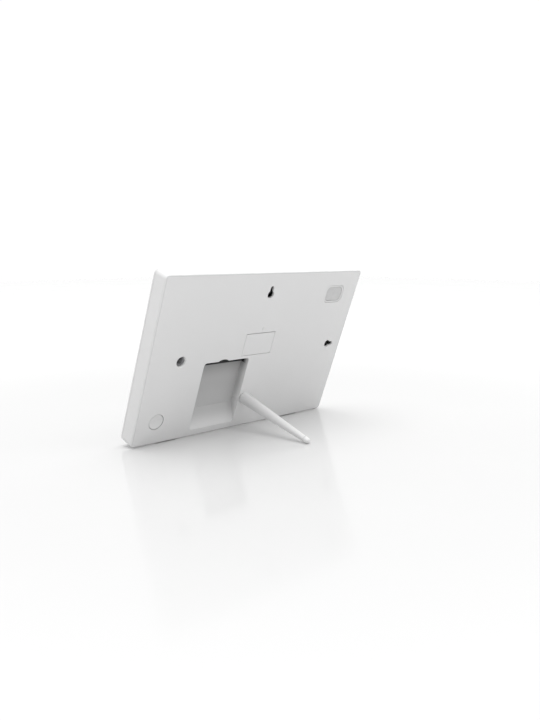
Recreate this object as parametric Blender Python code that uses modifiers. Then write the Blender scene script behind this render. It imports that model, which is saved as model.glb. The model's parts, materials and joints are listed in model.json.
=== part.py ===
"""Digital photo frame, leaning back on a screw-in round leg.

The frame is designed upright and then tipped back.  In the upright axes X is the width, the screen
faces -Y, the back panel is the plane Y = 0 and the underside of the casing is the plane Z = 0.  The
empty "lean" tips everything back and sets it on its feet, with the origin on the table, at the middle
of the outline.  All sizes are in metres.
"""

import math

import bmesh
import bpy
from mathutils import Euler, Vector

MM = 0.001

# ---- casing -------------------------------------------------------------------------------------
WIDTH = 260.0 * MM
HEIGHT = 170.5 * MM
DEPTH = 17.8 * MM
LEAN = math.radians(20.6)
CORNER_R = 4.7 * MM
REAR_EDGE_R = 1.4 * MM
FRONT_EDGE_R = 1.4 * MM
BEZEL_DEPTH = 2.7 * MM
SIDE_WALL = 2.0 * MM
BACK_WALL = 2.0 * MM
GAP = 0.3 * MM
THIN_GAP = 0.25 * MM
FLOOR_CLEARANCE = 0.4 * MM

# ---- picture window and display stack -----------------------------------------------------------
SIDE_BORDER = 20.5 * MM
TOP_BORDER = 16.25 * MM
GLASS_LAP = 5.0 * MM
GLASS_T = 1.0 * MM
GLASS_INSET = 0.2 * MM
GLASS_R = 2.5 * MM
TAPE_T = 0.3 * MM
TAPE_W = 3.2 * MM
PANEL_LAP = 5.0 * MM
PANEL_T = 1.2 * MM
DIFFUSER_T = 0.3 * MM
GUIDE_T = 0.9 * MM
TRAY_T = 0.35 * MM
TRAY_SIDE_T = 0.5 * MM
TRAY_LIP = 1.2 * MM
TRAY_RIM = 1.5 * MM
LED_STRIP_H = 1.2 * MM
EAR_REACH = 9.0 * MM
EAR_H = 9.0 * MM
EAR_FROM_CORNER = 15.0 * MM
TONGUE_T = 1.2 * MM
TONGUE_H = 2.5 * MM

# ---- port bay -----------------------------------------------------------------------------------
BAY_LEFT = 6.6 * MM
BAY_RIGHT = 63.8 * MM
BAY_BOTTOM = 7.5 * MM
BAY_TOP = 80.2 * MM
BAY_DEPTH = 9.5 * MM
BAY_RAMP_TOP = 26.0 * MM
BAY_WALL = 1.5 * MM
BAY_TOP_WALL = 3.0 * MM
BAY_CORNER_R = 3.0 * MM
PLUG_NOTCH_X = 40.0 * MM
PLUG_NOTCH_W = 13.0 * MM
PLUG_NOTCH_H = 1.9 * MM

# ---- electronics --------------------------------------------------------------------------------
BOARD_T = 1.0 * MM
BOARD_BACK = 8.4 * MM
BOARD_LEFT = 23.0 * MM
BOARD_RIGHT = 82.0 * MM
BOARD_H = 44.0 * MM
JACK_SIZE = (8.6 * MM, 5.6 * MM, 11.0 * MM)
JACK_BORE_R = 2.75 * MM
JACK_PIN_R = 0.95 * MM
PLUG_R = 3.0 * MM
USB_X = 54.0 * MM
USB_SIZE = (8.0 * MM, 3.0 * MM, 6.5 * MM)
CARD_X = 28.5 * MM
CARD_SIZE = (12.6 * MM, 2.0 * MM, 13.0 * MM)
POST_R = 2.6 * MM
SCREW_R = 1.0 * MM
SCREW_HEAD_R = 2.1 * MM
SCREW_HEAD_T = 0.8 * MM
STAKE_R = 1.0 * MM
FLEX_X = 70.6 * MM
FLEX_W = 9.6 * MM
SPEAKER_X = -61.0 * MM
SPEAKER_SIZE = (28.0 * MM, 5.0 * MM, 15.0 * MM)

# ---- cell door ----------------------------------------------------------------------------------
DOOR_LEFT = -21.0 * MM
DOOR_RIGHT = 18.2 * MM
DOOR_ABOVE_BAY = 2.8 * MM
DOOR_H = 24.0 * MM
DOOR_T = 1.6 * MM
DOOR_SLIT = 0.35 * MM
DOOR_TOP_SLIT = 0.7 * MM
HINGE_PIN_R = 0.6 * MM
HINGE_BARREL_R = 1.2 * MM
HINGE_DEPTH = 1.3 * MM
DOOR_TAIL = 2.4 * MM
DOOR_ROUND = 0.3 * MM
WELL_FLOOR = 7.0 * MM
WELL_WALL = 1.4 * MM
CELL_R = 8.0 * MM
CELL_T = 2.0 * MM
CONTACT_T = 0.4 * MM

# ---- wall keyholes ------------------------------------------------------------------------------
KEYHOLE_R = 4.0 * MM
KEYHOLE_SLOT_R = 2.25 * MM
KEYHOLE_RISE = 6.4 * MM
KEYHOLE_BELOW_TOP = 22.8 * MM
KEYHOLE_FROM_SIDE = 21.6 * MM
KEYHOLE_PLATE_T = 0.8 * MM
KEYHOLE_PLATE_W = 20.0 * MM
KEYHOLE_PLATE_H = 26.0 * MM

# ---- leg and its two sockets --------------------------------------------------------------------
LEG_HEIGHT = 34.3 * MM
LEG_RISE = math.radians(2.3)
LEG_BASE_R = 6.2 * MM
LEG_TIP_R = 2.9 * MM
LEG_END_ROUND = 0.8 * MM
LEG_SPIGOT_R = 1.6 * MM
LEG_SPIGOT_L = 4.0 * MM
LEG_CAP_L = 6.0 * MM
PORTRAIT_SOCKET_FROM_SIDE = 37.2 * MM
SOCKET_MOUTH_R = 5.6 * MM
SOCKET_MOUTH_DEPTH = 1.4 * MM
STUD_R = 3.0 * MM
STUD_IN_LEG = 9.0 * MM
INSERT_WALL = 1.4 * MM
INSERT_L = 6.5 * MM
BOSS_WALL = 2.2 * MM
WASHER_R = 4.5 * MM
MARK_W = 2.6 * MM
MARK_H = 3.4 * MM
MARK_DEPTH = 0.4 * MM
MARK_ABOVE_DOOR = 2.2 * MM

# ---- keys ---------------------------------------------------------------------------------------
MENU_FROM_SIDE = 35.4 * MM
MENU_BELOW_TOP = 26.1 * MM
MENU_W = 29.1 * MM
MENU_H = 19.5 * MM
MENU_R = 7.5 * MM
MENU_RIM = 2.8 * MM
PAD_T = 0.9 * MM
POWER_FROM_SIDE = 23.5 * MM
POWER_Z = 24.4 * MM
POWER_R = 8.05 * MM
POWER_DISH = 1.0 * MM
POWER_RIM = 1.1 * MM
KEY_INSET = 0.2 * MM
KEY_TRAVEL = 0.6 * MM
PLUNGER_PROUD = KEY_TRAVEL + 0.1 * MM
COLLAR_DEPTH = 3.2 * MM
COLLAR_WALL = 1.6 * MM
FLANGE_T = 1.0 * MM
FLANGE_LAP = 1.3 * MM
SWITCH_SIZE = 6.2 * MM
SWITCH_H = 3.0 * MM
SWITCH_BOARD_T = 0.8 * MM
SWITCH_BOARD_BACK = 9.4 * MM
PLUNGER_R = 1.6 * MM
PLUNGER_L = 2.4 * MM

# ---- feet ---------------------------------------------------------------------------------------
FOOT_X = 85.0 * MM
FOOT_L = 20.0 * MM
FOOT_FRONT = 11.0 * MM
FOOT_REAR = 4.0 * MM
FOOT_POCKET = 0.8 * MM

# ---- derived places -----------------------------------------------------------------------------
SEAM_Y = -(DEPTH - BEZEL_DEPTH)
LEDGE_BACK = SEAM_Y - GAP
MIDDLE_Z = HEIGHT / 2
WINDOW_W = WIDTH - 2 * SIDE_BORDER
WINDOW_H = HEIGHT - 2 * TOP_BORDER
PANEL_FRONT = LEDGE_BACK + GAP
PANEL_W = WINDOW_W + 2 * PANEL_LAP
PANEL_H = WINDOW_H + 2 * PANEL_LAP
PANEL_BACK = PANEL_FRONT + PANEL_T
DIFFUSER_FRONT = PANEL_BACK + THIN_GAP
GUIDE_FRONT = DIFFUSER_FRONT + DIFFUSER_T + THIN_GAP
TRAY_INNER = GUIDE_FRONT + GUIDE_T + THIN_GAP
TRAY_BACK = TRAY_INNER + TRAY_T
TRAY_W = PANEL_W + 2 * TRAY_RIM
TRAY_H = PANEL_H + 2 * TRAY_RIM
DOOR_BOTTOM = BAY_TOP + DOOR_ABOVE_BAY
DOOR_TOP = DOOR_BOTTOM + DOOR_H
PORTRAIT_SOCKET_X = WIDTH / 2 - PORTRAIT_SOCKET_FROM_SIDE
MENU_X = MENU_FROM_SIDE - WIDTH / 2
MENU_Z = HEIGHT - MENU_BELOW_TOP
POWER_X = WIDTH / 2 - POWER_FROM_SIDE
BOARD_FRONT = -(BOARD_BACK + BOARD_T)
BOARD_BOTTOM = BAY_TOP + BAY_TOP_WALL + GAP
BOARD_TOP = BOARD_BOTTOM + BOARD_H
INSERT_R = STUD_R + GAP + INSERT_WALL
BOSS_R = INSERT_R + GAP + BOSS_WALL
STUD_OUT = SOCKET_MOUTH_DEPTH + INSERT_L
ROUND_DROP = REAR_EDGE_R * (math.cos(LEAN) + math.sin(LEAN) - 1)
REAR_EDGE_Z = FLOOR_CLEARANCE - ROUND_DROP
LEG_DROP = LEAN - LEG_RISE
LEG_ROOT_Z = LEG_HEIGHT * math.cos(LEAN) + REAR_EDGE_Z
LEG_ROOT_Y = LEG_HEIGHT * math.sin(LEAN)
LEG_REACH = (LEG_ROOT_Z - LEG_TIP_R) / math.sin(LEG_DROP)
FRONT_REACH = (FRONT_EDGE_R - DEPTH) * math.cos(LEAN) + FRONT_EDGE_R * (math.sin(LEAN) - 1)
BACK_REACH = LEG_ROOT_Y + LEG_REACH * math.cos(LEG_DROP) + LEG_TIP_R
MIDDLE_Y = (FRONT_REACH + BACK_REACH) / 2
DOOR_AXIS_Y = -HINGE_DEPTH
DOOR_AXIS_Z = DOOR_BOTTOM + DOOR_SLIT + DOOR_TAIL

ROUND_STEPS = 36
SMALL_STEPS = 16


# ---- scene ----------------------------------------------------------------------------------------
def clear_scene():
    """Remove what the file holds, so that only the frame is left."""
    for old in list(bpy.data.objects):
        bpy.data.objects.remove(old, do_unlink=True)


def new_collection(name):
    collection = bpy.data.collections.new(name)
    bpy.context.scene.collection.children.link(collection)
    return collection


clear_scene()
PARTS = new_collection("digital_photo_frame")
CUTTERS = new_collection("cutters")


def new_empty(name, at, turn=(0.0, 0.0, 0.0), parent=None):
    """A named axis that pieces are parented to."""
    empty = bpy.data.objects.new(name, None)
    empty.empty_display_size = 0.01
    empty.location = at
    empty.rotation_euler = Euler(turn)
    empty.parent = parent
    PARTS.objects.link(empty)
    return empty


lean = new_empty("lean", (0.0, -MIDDLE_Y, REAR_EDGE_Z), (-LEAN, 0.0, 0.0))


# ---- materials ------------------------------------------------------------------------------------
def finish(name, colour, roughness, metallic=0.0):
    material = bpy.data.materials.new(name)
    material.use_nodes = True
    shader = material.node_tree.nodes["Principled BSDF"]
    shader.inputs["Base Color"].default_value = (*colour, 1.0)
    shader.inputs["Roughness"].default_value = roughness
    shader.inputs["Metallic"].default_value = metallic
    material.diffuse_color = (*colour, 1.0)
    return material


def clear_finish(name, colour, roughness, transmission):
    material = finish(name, colour, roughness)
    shader = material.node_tree.nodes["Principled BSDF"]
    shader.inputs["Transmission Weight"].default_value = transmission
    return material


WHITE = finish("white_casing", (0.80, 0.80, 0.80), 0.45)
LEG_WHITE = finish("white_leg", (0.82, 0.82, 0.82), 0.35)
KEY_WHITE = finish("white_key", (0.78, 0.78, 0.78), 0.45)
PALE_RUBBER = finish("pale_rubber", (0.62, 0.62, 0.62), 0.75)
GREY_RUBBER = finish("grey_rubber", (0.16, 0.16, 0.16), 0.85)
DARK_RUBBER = finish("dark_rubber", (0.03, 0.03, 0.03), 0.8)
COVER_GLASS = clear_finish("cover_glass", (0.02, 0.02, 0.022), 0.05, 0.2)
TAPE = finish("black_tape", (0.02, 0.02, 0.02), 0.7)
PANEL = finish("display_panel", (0.03, 0.03, 0.035), 0.15)
DIFFUSER = finish("diffuser_film", (0.85, 0.85, 0.85), 0.6)
ACRYLIC = clear_finish("clear_acrylic", (0.9, 0.92, 0.92), 0.1, 0.9)
TRAY_STEEL = finish("tray_steel", (0.55, 0.56, 0.57), 0.35, 1.0)
BOARD_GREEN = finish("board_green", (0.02, 0.18, 0.09), 0.45)
CHIP_BLACK = finish("chip_black", (0.02, 0.02, 0.02), 0.5)
TIN = finish("tin_plate", (0.7, 0.7, 0.69), 0.3, 1.0)
STEEL = finish("zinc_steel", (0.62, 0.63, 0.65), 0.3, 1.0)
AMBER_FILM = finish("amber_film", (0.45, 0.20, 0.05), 0.4)
BLACK_PLASTIC = finish("black_plastic", (0.03, 0.03, 0.03), 0.5)


# ---- shapes ---------------------------------------------------------------------------------------
def add_object(name, mesh, material, at, turn=(0.0, 0.0, 0.0), parent=None):
    """Put a mesh in the scene: a part if it has a material, otherwise a cutter."""
    obj = bpy.data.objects.new(name, mesh)
    obj.parent = parent or lean
    obj.location = at
    obj.rotation_euler = Euler(turn)
    if material:
        mesh.materials.append(material)
        PARTS.objects.link(obj)
    else:
        obj.hide_render = True
        obj.display_type = "WIRE"
        CUTTERS.objects.link(obj)
    return obj


def shade(mesh, angle=35.0):
    mesh.shade_smooth()
    mesh.set_sharp_from_angle(angle=math.radians(angle))


def mesh_from(bm, name):
    bmesh.ops.recalc_face_normals(bm, faces=bm.faces)
    mesh = bpy.data.meshes.new(name)
    bm.to_mesh(mesh)
    bm.free()
    shade(mesh)
    return mesh


def edges_along_y(bm):
    """The edges that run from the front to the back."""
    picked = []
    for edge in bm.edges:
        step = edge.verts[1].co - edge.verts[0].co
        if abs(step.x) < 1e-7 and abs(step.z) < 1e-7:
            picked.append(edge)
    return picked


def edges_at_y(bm, y):
    return [edge for edge in bm.edges if all(abs(vert.co.y - y) < 1e-7 for vert in edge.verts)]


def block(name, material, x, y, z, corner=0.0, rear=0.0, front=0.0, segments=4, parent=None):
    """A box between pairs of x, y and z, with round corners seen from the back, and round edges."""
    size = Vector((x[1] - x[0], y[1] - y[0], z[1] - z[0]))
    middle = Vector((x[0] + x[1], y[0] + y[1], z[0] + z[1])) / 2
    bm = bmesh.new()
    bmesh.ops.create_cube(bm, size=1.0)
    bmesh.ops.scale(bm, vec=size, verts=bm.verts)
    if corner > 0.0:
        bmesh.ops.bevel(bm, geom=edges_along_y(bm), offset=corner, segments=segments, profile=0.5,
                        affect="EDGES")
    for edge_y, radius in ((size.y / 2, rear), (-size.y / 2, front)):
        if radius > 0.0:
            bmesh.ops.bevel(bm, geom=edges_at_y(bm, edge_y), offset=radius, segments=3, profile=0.5,
                            affect="EDGES")
    return add_object(name, mesh_from(bm, name), material, middle, parent=parent)


def pin(name, material, radius, start, end, steps=SMALL_STEPS, bevel=0.0, end_radius=None, parent=None):
    """A round bar, or a cone, from one point to another."""
    start = Vector(start)
    along = Vector(end) - start
    bm = bmesh.new()
    bmesh.ops.create_cone(bm, cap_ends=True, segments=steps, radius1=radius,
                          radius2=radius if end_radius is None else end_radius, depth=along.length)
    if bevel > 0.0:
        rims = [edge for edge in bm.edges
                if abs(edge.verts[0].co.z - edge.verts[1].co.z) < 1e-7]
        bmesh.ops.bevel(bm, geom=rims, offset=bevel, segments=1, profile=0.5, affect="EDGES")
    turn = along.to_track_quat("Z", "Y").to_euler()
    return add_object(name, mesh_from(bm, name), material, start + along / 2, turn, parent)


def turned(name, material, profile, at, turn=(0.0, 0.0, 0.0), steps=ROUND_STEPS, parent=None):
    """A turned shape: the (radius, height) profile runs down its outer side from top to bottom."""
    mesh = bpy.data.meshes.new(name)
    points = [(radius, 0.0, height) for radius, height in profile]
    links = [(index, index + 1) for index in range(len(points) - 1)]
    mesh.from_pydata(points, links, [])
    obj = add_object(name, mesh, material, at, turn, parent)
    screw = obj.modifiers.new("turn", "SCREW")
    screw.axis = "Z"
    screw.angle = math.tau
    screw.steps = steps
    screw.render_steps = steps
    screw.use_merge_vertices = True
    screw.merge_threshold = 0.000001
    screw.use_smooth_shade = True
    return obj


def arc(centre, radius, first, last, steps):
    """Points on an arc in a plane, with angles in degrees."""
    points = []
    for index in range(steps + 1):
        angle = math.radians(first + (last - first) * index / steps)
        points.append((centre[0] + radius * math.cos(angle), centre[1] + radius * math.sin(angle)))
    return points


def plate(name, material, outline, thickness, at, turn, parent=None):
    """A flat plate: a closed 2D outline, filled and given its thickness."""
    curve = bpy.data.curves.new(name, "CURVE")
    curve.dimensions = "2D"
    curve.fill_mode = "BOTH"
    curve.extrude = thickness / 2
    spline = curve.splines.new("POLY")
    spline.points.add(len(outline) - 1)
    for point, (across, up) in zip(spline.points, outline):
        point.co = (across, up, 0.0, 1.0)
    spline.use_cyclic_u = True
    drawn = bpy.data.objects.new(name + "_outline", curve)
    CUTTERS.objects.link(drawn)
    evaluated = drawn.evaluated_get(bpy.context.evaluated_depsgraph_get())
    mesh = bpy.data.meshes.new_from_object(evaluated)
    bpy.data.objects.remove(drawn, do_unlink=True)
    bm = bmesh.new()
    bm.from_mesh(mesh)
    bmesh.ops.remove_doubles(bm, verts=bm.verts, dist=0.000001)
    bpy.data.meshes.remove(mesh)
    return add_object(name, mesh_from(bm, name), material, at, turn, parent)


STANDING = (math.pi / 2, 0.0, 0.0)
SIDEWAYS = (math.pi / 2, 0.0, math.pi / 2)


def combine(obj, tool, operation):
    modifier = obj.modifiers.new(tool.name, "BOOLEAN")
    modifier.operation = operation
    modifier.object = tool


def cut(obj, *tools):
    for tool in tools:
        combine(obj, tool, "DIFFERENCE")


def join(obj, *tools):
    for tool in tools:
        combine(obj, tool, "UNION")


# ---- wall keyholes --------------------------------------------------------------------------------
KEYHOLES = {
    "landscape": (0.0, HEIGHT - KEYHOLE_BELOW_TOP, 0.0),
    "portrait": (-(WIDTH / 2 - KEYHOLE_FROM_SIDE), MIDDLE_Z, math.pi / 2),
}
STAKE_SPREAD = KEYHOLE_PLATE_W / 2 - 2.6 * MM
STAKE_LOW = -7.0 * MM


def keyhole_outline(clearance=0.0):
    """A round hole with a round-ended slot above it, about the round hole's centre."""
    hole = KEYHOLE_R - clearance
    slot = KEYHOLE_SLOT_R - clearance
    shoulder = math.degrees(math.acos(slot / hole))
    return (arc((0.0, 0.0), hole, 180.0 - shoulder, 360.0 + shoulder, 18)
            + arc((0.0, KEYHOLE_RISE), slot, 0.0, 180.0, 8))


def upward(x, z, turn, across, up, y):
    """A point beside a keyhole, in the frame's upright axes."""
    return (x + across * math.cos(turn) - up * math.sin(turn), y,
            z + across * math.sin(turn) + up * math.cos(turn))


def make_keyhole_plates():
    for way, (x, z, turn) in KEYHOLES.items():
        top = -(BACK_WALL + GAP)
        face = block(f"keyhole_plate_{way}", STEEL, (-KEYHOLE_PLATE_W / 2, KEYHOLE_PLATE_W / 2),
                     (top - KEYHOLE_PLATE_T, top), (-KEYHOLE_PLATE_H / 2, KEYHOLE_PLATE_H / 2),
                     corner=1.5 * MM, segments=2)
        face.location = upward(x, z, turn, 0.0, KEYHOLE_RISE / 2, top - KEYHOLE_PLATE_T / 2)
        face.rotation_euler = Euler((0.0, -turn, 0.0))
        slot = plate(f"plate_slot_{way}", None, keyhole_outline(), 4 * KEYHOLE_PLATE_T,
                     (x, top - KEYHOLE_PLATE_T / 2, z), (math.pi / 2, -turn, 0.0))
        cut(face, slot)
        for side in (-1, 1):
            hole = pin(f"stake_hole_{way}_{side}", None, STAKE_R + GAP,
                       upward(x, z, turn, side * STAKE_SPREAD, STAKE_LOW, -8 * MM),
                       upward(x, z, turn, side * STAKE_SPREAD, STAKE_LOW, -1 * MM), steps=10)
            cut(face, hole)


# ---- rear cover -----------------------------------------------------------------------------------
def socket_axis(across, up, way):
    """Root and outward direction of a leg socket, on the back panel."""
    if way == "landscape":
        direction = Vector((0.0, math.cos(LEG_RISE), math.sin(LEG_RISE)))
    else:
        direction = Vector((-math.sin(LEG_RISE), math.cos(LEG_RISE), 0.0))
    return Vector((across, 0.0, up)), direction


SOCKETS = {
    "landscape": socket_axis(0.0, LEG_HEIGHT, "landscape"),
    "portrait": socket_axis(PORTRAIT_SOCKET_X, MIDDLE_Z, "portrait"),
}
BOSS_DEPTH = SOCKET_MOUTH_DEPTH + INSERT_L + 1.6 * MM
BOARD_POSTS = (
    (BOARD_LEFT + 4.0 * MM, BOARD_TOP - 4.0 * MM),
    (BOARD_RIGHT - 4.0 * MM, BOARD_TOP - 4.0 * MM),
    (BOARD_RIGHT - 4.0 * MM, BOARD_BOTTOM + 4.0 * MM),
)
STAKE_FROM_KEY = 4.0 * MM
SWITCH_PLACES = {
    "menu": (MENU_X, MENU_Z, MENU_W / 2 + STAKE_FROM_KEY, 0.0),
    "power": (POWER_X, POWER_Z, 0.0, POWER_R + STAKE_FROM_KEY),
}
SWITCH_BOARD_MARGIN = 3.0 * MM
SWITCH_BOARD_HALF = 6.0 * MM


def add_bay(cover):
    """The recess for the plugs: a deep box whose floor ramps up to the back panel at the bottom."""
    tub = block("bay_tub", None, (BAY_LEFT - BAY_WALL, BAY_RIGHT + BAY_WALL),
                (-(BAY_DEPTH + BAY_WALL), -BACK_WALL / 2),
                (BAY_BOTTOM - BAY_WALL, BAY_TOP + BAY_TOP_WALL))
    join(cover, tub)
    over = 2.0 * MM
    hollow = block("bay_hollow", None, (BAY_LEFT, BAY_RIGHT), (-BAY_DEPTH, over), (BAY_BOTTOM, BAY_TOP),
                   corner=BAY_CORNER_R, segments=3)
    slope = BAY_DEPTH / (BAY_RAMP_TOP - BAY_BOTTOM)
    low = 3.0 * MM
    ramp = plate("bay_ramp", None,
                 [(-BAY_DEPTH - over, BAY_BOTTOM - low), (slope * low, BAY_BOTTOM - low),
                  (-BAY_DEPTH, BAY_RAMP_TOP), (-BAY_DEPTH - over, BAY_RAMP_TOP)],
                 (BAY_RIGHT - BAY_LEFT) + 2 * BAY_WALL,
                 ((BAY_LEFT + BAY_RIGHT) / 2, 0.0, 0.0), SIDEWAYS)
    cut(hollow, ramp)
    cut(cover, hollow)


def add_port_holes(cover):
    """Openings in the bay's ceiling for the power plug, the lead's plug and the memory card."""
    ceiling = BAY_TOP + BAY_TOP_WALL
    middle = -(BOARD_BACK - GAP - JACK_SIZE[1] / 2)
    sweep = (PLUG_NOTCH_W ** 2 / 4 + PLUG_NOTCH_H ** 2) / (2 * PLUG_NOTCH_H)
    crown = BAY_TOP + PLUG_NOTCH_H - sweep
    notch = pin("plug_notch", None, sweep, (PLUG_NOTCH_X, -BAY_DEPTH, crown),
                (PLUG_NOTCH_X, 2 * MM, crown), steps=2 * ROUND_STEPS)
    bore = pin("plug_hole", None, PLUG_R + GAP, (PLUG_NOTCH_X, middle, BAY_TOP - 1 * MM),
               (PLUG_NOTCH_X, middle, ceiling + 1 * MM))
    usb_y = -(BOARD_BACK - GAP - USB_SIZE[1] / 2)
    usb = block("usb_hole", None, (USB_X - USB_SIZE[0] / 2, USB_X + USB_SIZE[0] / 2),
                (usb_y - USB_SIZE[1] / 2, usb_y + USB_SIZE[1] / 2),
                (BAY_TOP - 1 * MM, ceiling + 1 * MM))
    card_y = -(BOARD_BACK - GAP - CARD_SIZE[1] / 2)
    card = block("card_hole", None, (CARD_X - CARD_SIZE[0] / 2, CARD_X + CARD_SIZE[0] / 2),
                 (card_y - 0.8 * MM, card_y + 0.8 * MM), (BAY_TOP - 1 * MM, ceiling + 1 * MM))
    cut(cover, notch, bore, usb, card)


def add_door_well(cover):
    """The box behind the door, the hinge pin's holes in its sides, and an arrow that points at the door."""
    well = block("cell_well", None, (DOOR_LEFT - WELL_WALL, DOOR_RIGHT + WELL_WALL),
                 (-(WELL_FLOOR + WELL_WALL), -BACK_WALL / 2),
                 (DOOR_BOTTOM - WELL_WALL, DOOR_TOP + WELL_WALL))
    join(cover, well)
    hollow = block("cell_hollow", None, (DOOR_LEFT, DOOR_RIGHT), (-WELL_FLOOR, 2 * MM),
                   (DOOR_BOTTOM, DOOR_TOP))
    pin_hole = pin("hinge_pin_hole", None, HINGE_PIN_R + GAP,
                   (DOOR_LEFT - WELL_WALL + 0.4 * MM, DOOR_AXIS_Y, DOOR_AXIS_Z),
                   (DOOR_RIGHT + WELL_WALL - 0.4 * MM, DOOR_AXIS_Y, DOOR_AXIS_Z), steps=12)
    ledge = block("door_stop", None, (-6 * MM, 4 * MM), (-4.4 * MM, -3.2 * MM),
                  (DOOR_TOP - 1.2 * MM, DOOR_TOP + WELL_WALL / 2))
    cut(cover, hollow, pin_hole)
    join(cover, ledge)
    low = DOOR_TOP + MARK_ABOVE_DOOR
    middle = (DOOR_LEFT + DOOR_RIGHT) / 2
    arrow = [(0.0, low), (MARK_W / 2, low + MARK_H), (-MARK_W / 2, low + MARK_H)]
    cut(cover, plate("opening_mark", None, arrow, 2 * MARK_DEPTH, (middle, 0.0, 0.0), STANDING))


def add_leg_sockets(cover):
    """Bosses for the two threaded inserts, with a funnel mouth on the back panel."""
    for way, (root, out) in SOCKETS.items():
        join(cover, pin(f"socket_boss_{way}", None, BOSS_R, root - out * BOSS_DEPTH,
                        root - out * (BACK_WALL / 2), steps=ROUND_STEPS))
    for way, (root, out) in SOCKETS.items():
        over = 1.0 * MM
        flare = (SOCKET_MOUTH_R - INSERT_R) / SOCKET_MOUTH_DEPTH
        mouth = pin(f"socket_mouth_{way}", None, INSERT_R, root - out * SOCKET_MOUTH_DEPTH,
                    root + out * over, steps=ROUND_STEPS, end_radius=SOCKET_MOUTH_R + flare * over)
        bore = pin(f"socket_bore_{way}", None, INSERT_R + GAP,
                   root - out * (SOCKET_MOUTH_DEPTH + INSERT_L + GAP),
                   root - out * (SOCKET_MOUTH_DEPTH - GAP), steps=ROUND_STEPS)
        relief = pin(f"socket_relief_{way}", None, STUD_R + GAP, root - out * (BOSS_DEPTH + 1 * MM),
                     root - out * SOCKET_MOUTH_DEPTH, steps=SMALL_STEPS)
        cut(cover, mouth, bore, relief)


def add_keyhole_cuts(cover):
    for way, (x, z, turn) in KEYHOLES.items():
        slot = plate(f"cover_slot_{way}", None, keyhole_outline(), 3 * BACK_WALL,
                     (x, -BACK_WALL / 2, z), (math.pi / 2, -turn, 0.0))
        cut(cover, slot)
        for side in (-1, 1):
            stake = pin(f"stake_{way}_{side}", None, STAKE_R,
                        upward(x, z, turn, side * STAKE_SPREAD, STAKE_LOW,
                               -(BACK_WALL + KEYHOLE_PLATE_T + 3 * GAP)),
                        upward(x, z, turn, side * STAKE_SPREAD, STAKE_LOW, -BACK_WALL / 2), steps=10)
            join(cover, stake)


def add_key_holes(cover):
    """Collars that guide the two keys, and the stakes that hold their switch boards."""
    menu_collar = block("menu_collar", None,
                        (MENU_X - MENU_W / 2 - COLLAR_WALL, MENU_X + MENU_W / 2 + COLLAR_WALL),
                        (-COLLAR_DEPTH, -BACK_WALL / 2),
                        (MENU_Z - MENU_H / 2 - COLLAR_WALL, MENU_Z + MENU_H / 2 + COLLAR_WALL),
                        corner=MENU_R + COLLAR_WALL)
    power_collar = pin("power_collar", None, POWER_R + COLLAR_WALL, (POWER_X, -COLLAR_DEPTH, POWER_Z),
                       (POWER_X, -BACK_WALL / 2, POWER_Z), steps=ROUND_STEPS)
    join(cover, menu_collar, power_collar)
    menu_hole = block("menu_hole", None, (MENU_X - MENU_W / 2, MENU_X + MENU_W / 2), (-6 * MM, 2 * MM),
                      (MENU_Z - MENU_H / 2, MENU_Z + MENU_H / 2), corner=MENU_R, segments=6)
    power_hole = pin("power_hole", None, POWER_R, (POWER_X, -6 * MM, POWER_Z),
                     (POWER_X, 2 * MM, POWER_Z), steps=ROUND_STEPS)
    cut(cover, menu_hole, power_hole)
    for key, (x, z, reach_x, reach_z) in SWITCH_PLACES.items():
        for side in (-1, 1):
            place_x = x + side * reach_x
            place_z = z + side * reach_z
            join(cover, pin(f"{key}_shoulder_{side}", None, 2 * STAKE_R,
                            (place_x, GAP - SWITCH_BOARD_BACK, place_z),
                            (place_x, -BACK_WALL / 2, place_z), steps=10))
            join(cover, pin(f"{key}_stake_{side}", None, STAKE_R,
                            (place_x, -(SWITCH_BOARD_BACK + SWITCH_BOARD_T + GAP), place_z),
                            (place_x, -BACK_WALL, place_z), steps=10))


def add_board_posts(cover):
    for index, (x, z) in enumerate(BOARD_POSTS):
        join(cover, pin(f"board_post_{index}", None, POST_R, (x, GAP - BOARD_BACK, z),
                        (x, -BACK_WALL / 2, z), steps=12))
        cut(cover, pin(f"board_post_hole_{index}", None, SCREW_R + GAP, (x, -BOARD_BACK - 1 * MM, z),
                       (x, -BOARD_BACK + 5 * MM, z), steps=10))


def add_feet_pockets(cover):
    for side in (-1, 1):
        middle = side * FOOT_X
        cut(cover, block(f"foot_pocket_{side}", None,
                         (middle - FOOT_L / 2 - GAP, middle + FOOT_L / 2 + GAP),
                         (-(FOOT_FRONT + GAP), GAP - FOOT_REAR), (-2 * MM, FOOT_POCKET)))


def add_sound_slots(cover):
    """A row of slots in the underside, below the speaker."""
    for index in range(6):
        x = SPEAKER_X + (index - 2.5) * 3.0 * MM
        cut(cover, block(f"sound_slot_{index}", None, (x - 0.6 * MM, x + 0.6 * MM),
                         (-10 * MM, -5 * MM), (-1 * MM, SIDE_WALL + 1 * MM)))


def make_rear_cover():
    cover = block("rear_cover", WHITE, (-WIDTH / 2, WIDTH / 2), (SEAM_Y, 0.0), (0.0, HEIGHT),
                  corner=CORNER_R, rear=REAR_EDGE_R, segments=6)
    cavity = block("cover_cavity", None, (SIDE_WALL - WIDTH / 2, WIDTH / 2 - SIDE_WALL),
                   (SEAM_Y - 2 * MM, -BACK_WALL), (SIDE_WALL, HEIGHT - SIDE_WALL),
                   corner=CORNER_R - SIDE_WALL, segments=3)
    cut(cover, cavity)
    add_bay(cover)
    add_door_well(cover)
    add_leg_sockets(cover)
    add_port_holes(cover)
    add_key_holes(cover)
    add_keyhole_cuts(cover)
    add_board_posts(cover)
    add_feet_pockets(cover)
    add_sound_slots(cover)
    return cover


# ---- front bezel and display ----------------------------------------------------------------------
def centred(width, height):
    """Pairs of x and z about the middle of the frame."""
    return (-width / 2, width / 2), (MIDDLE_Z - height / 2, MIDDLE_Z + height / 2)


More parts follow.
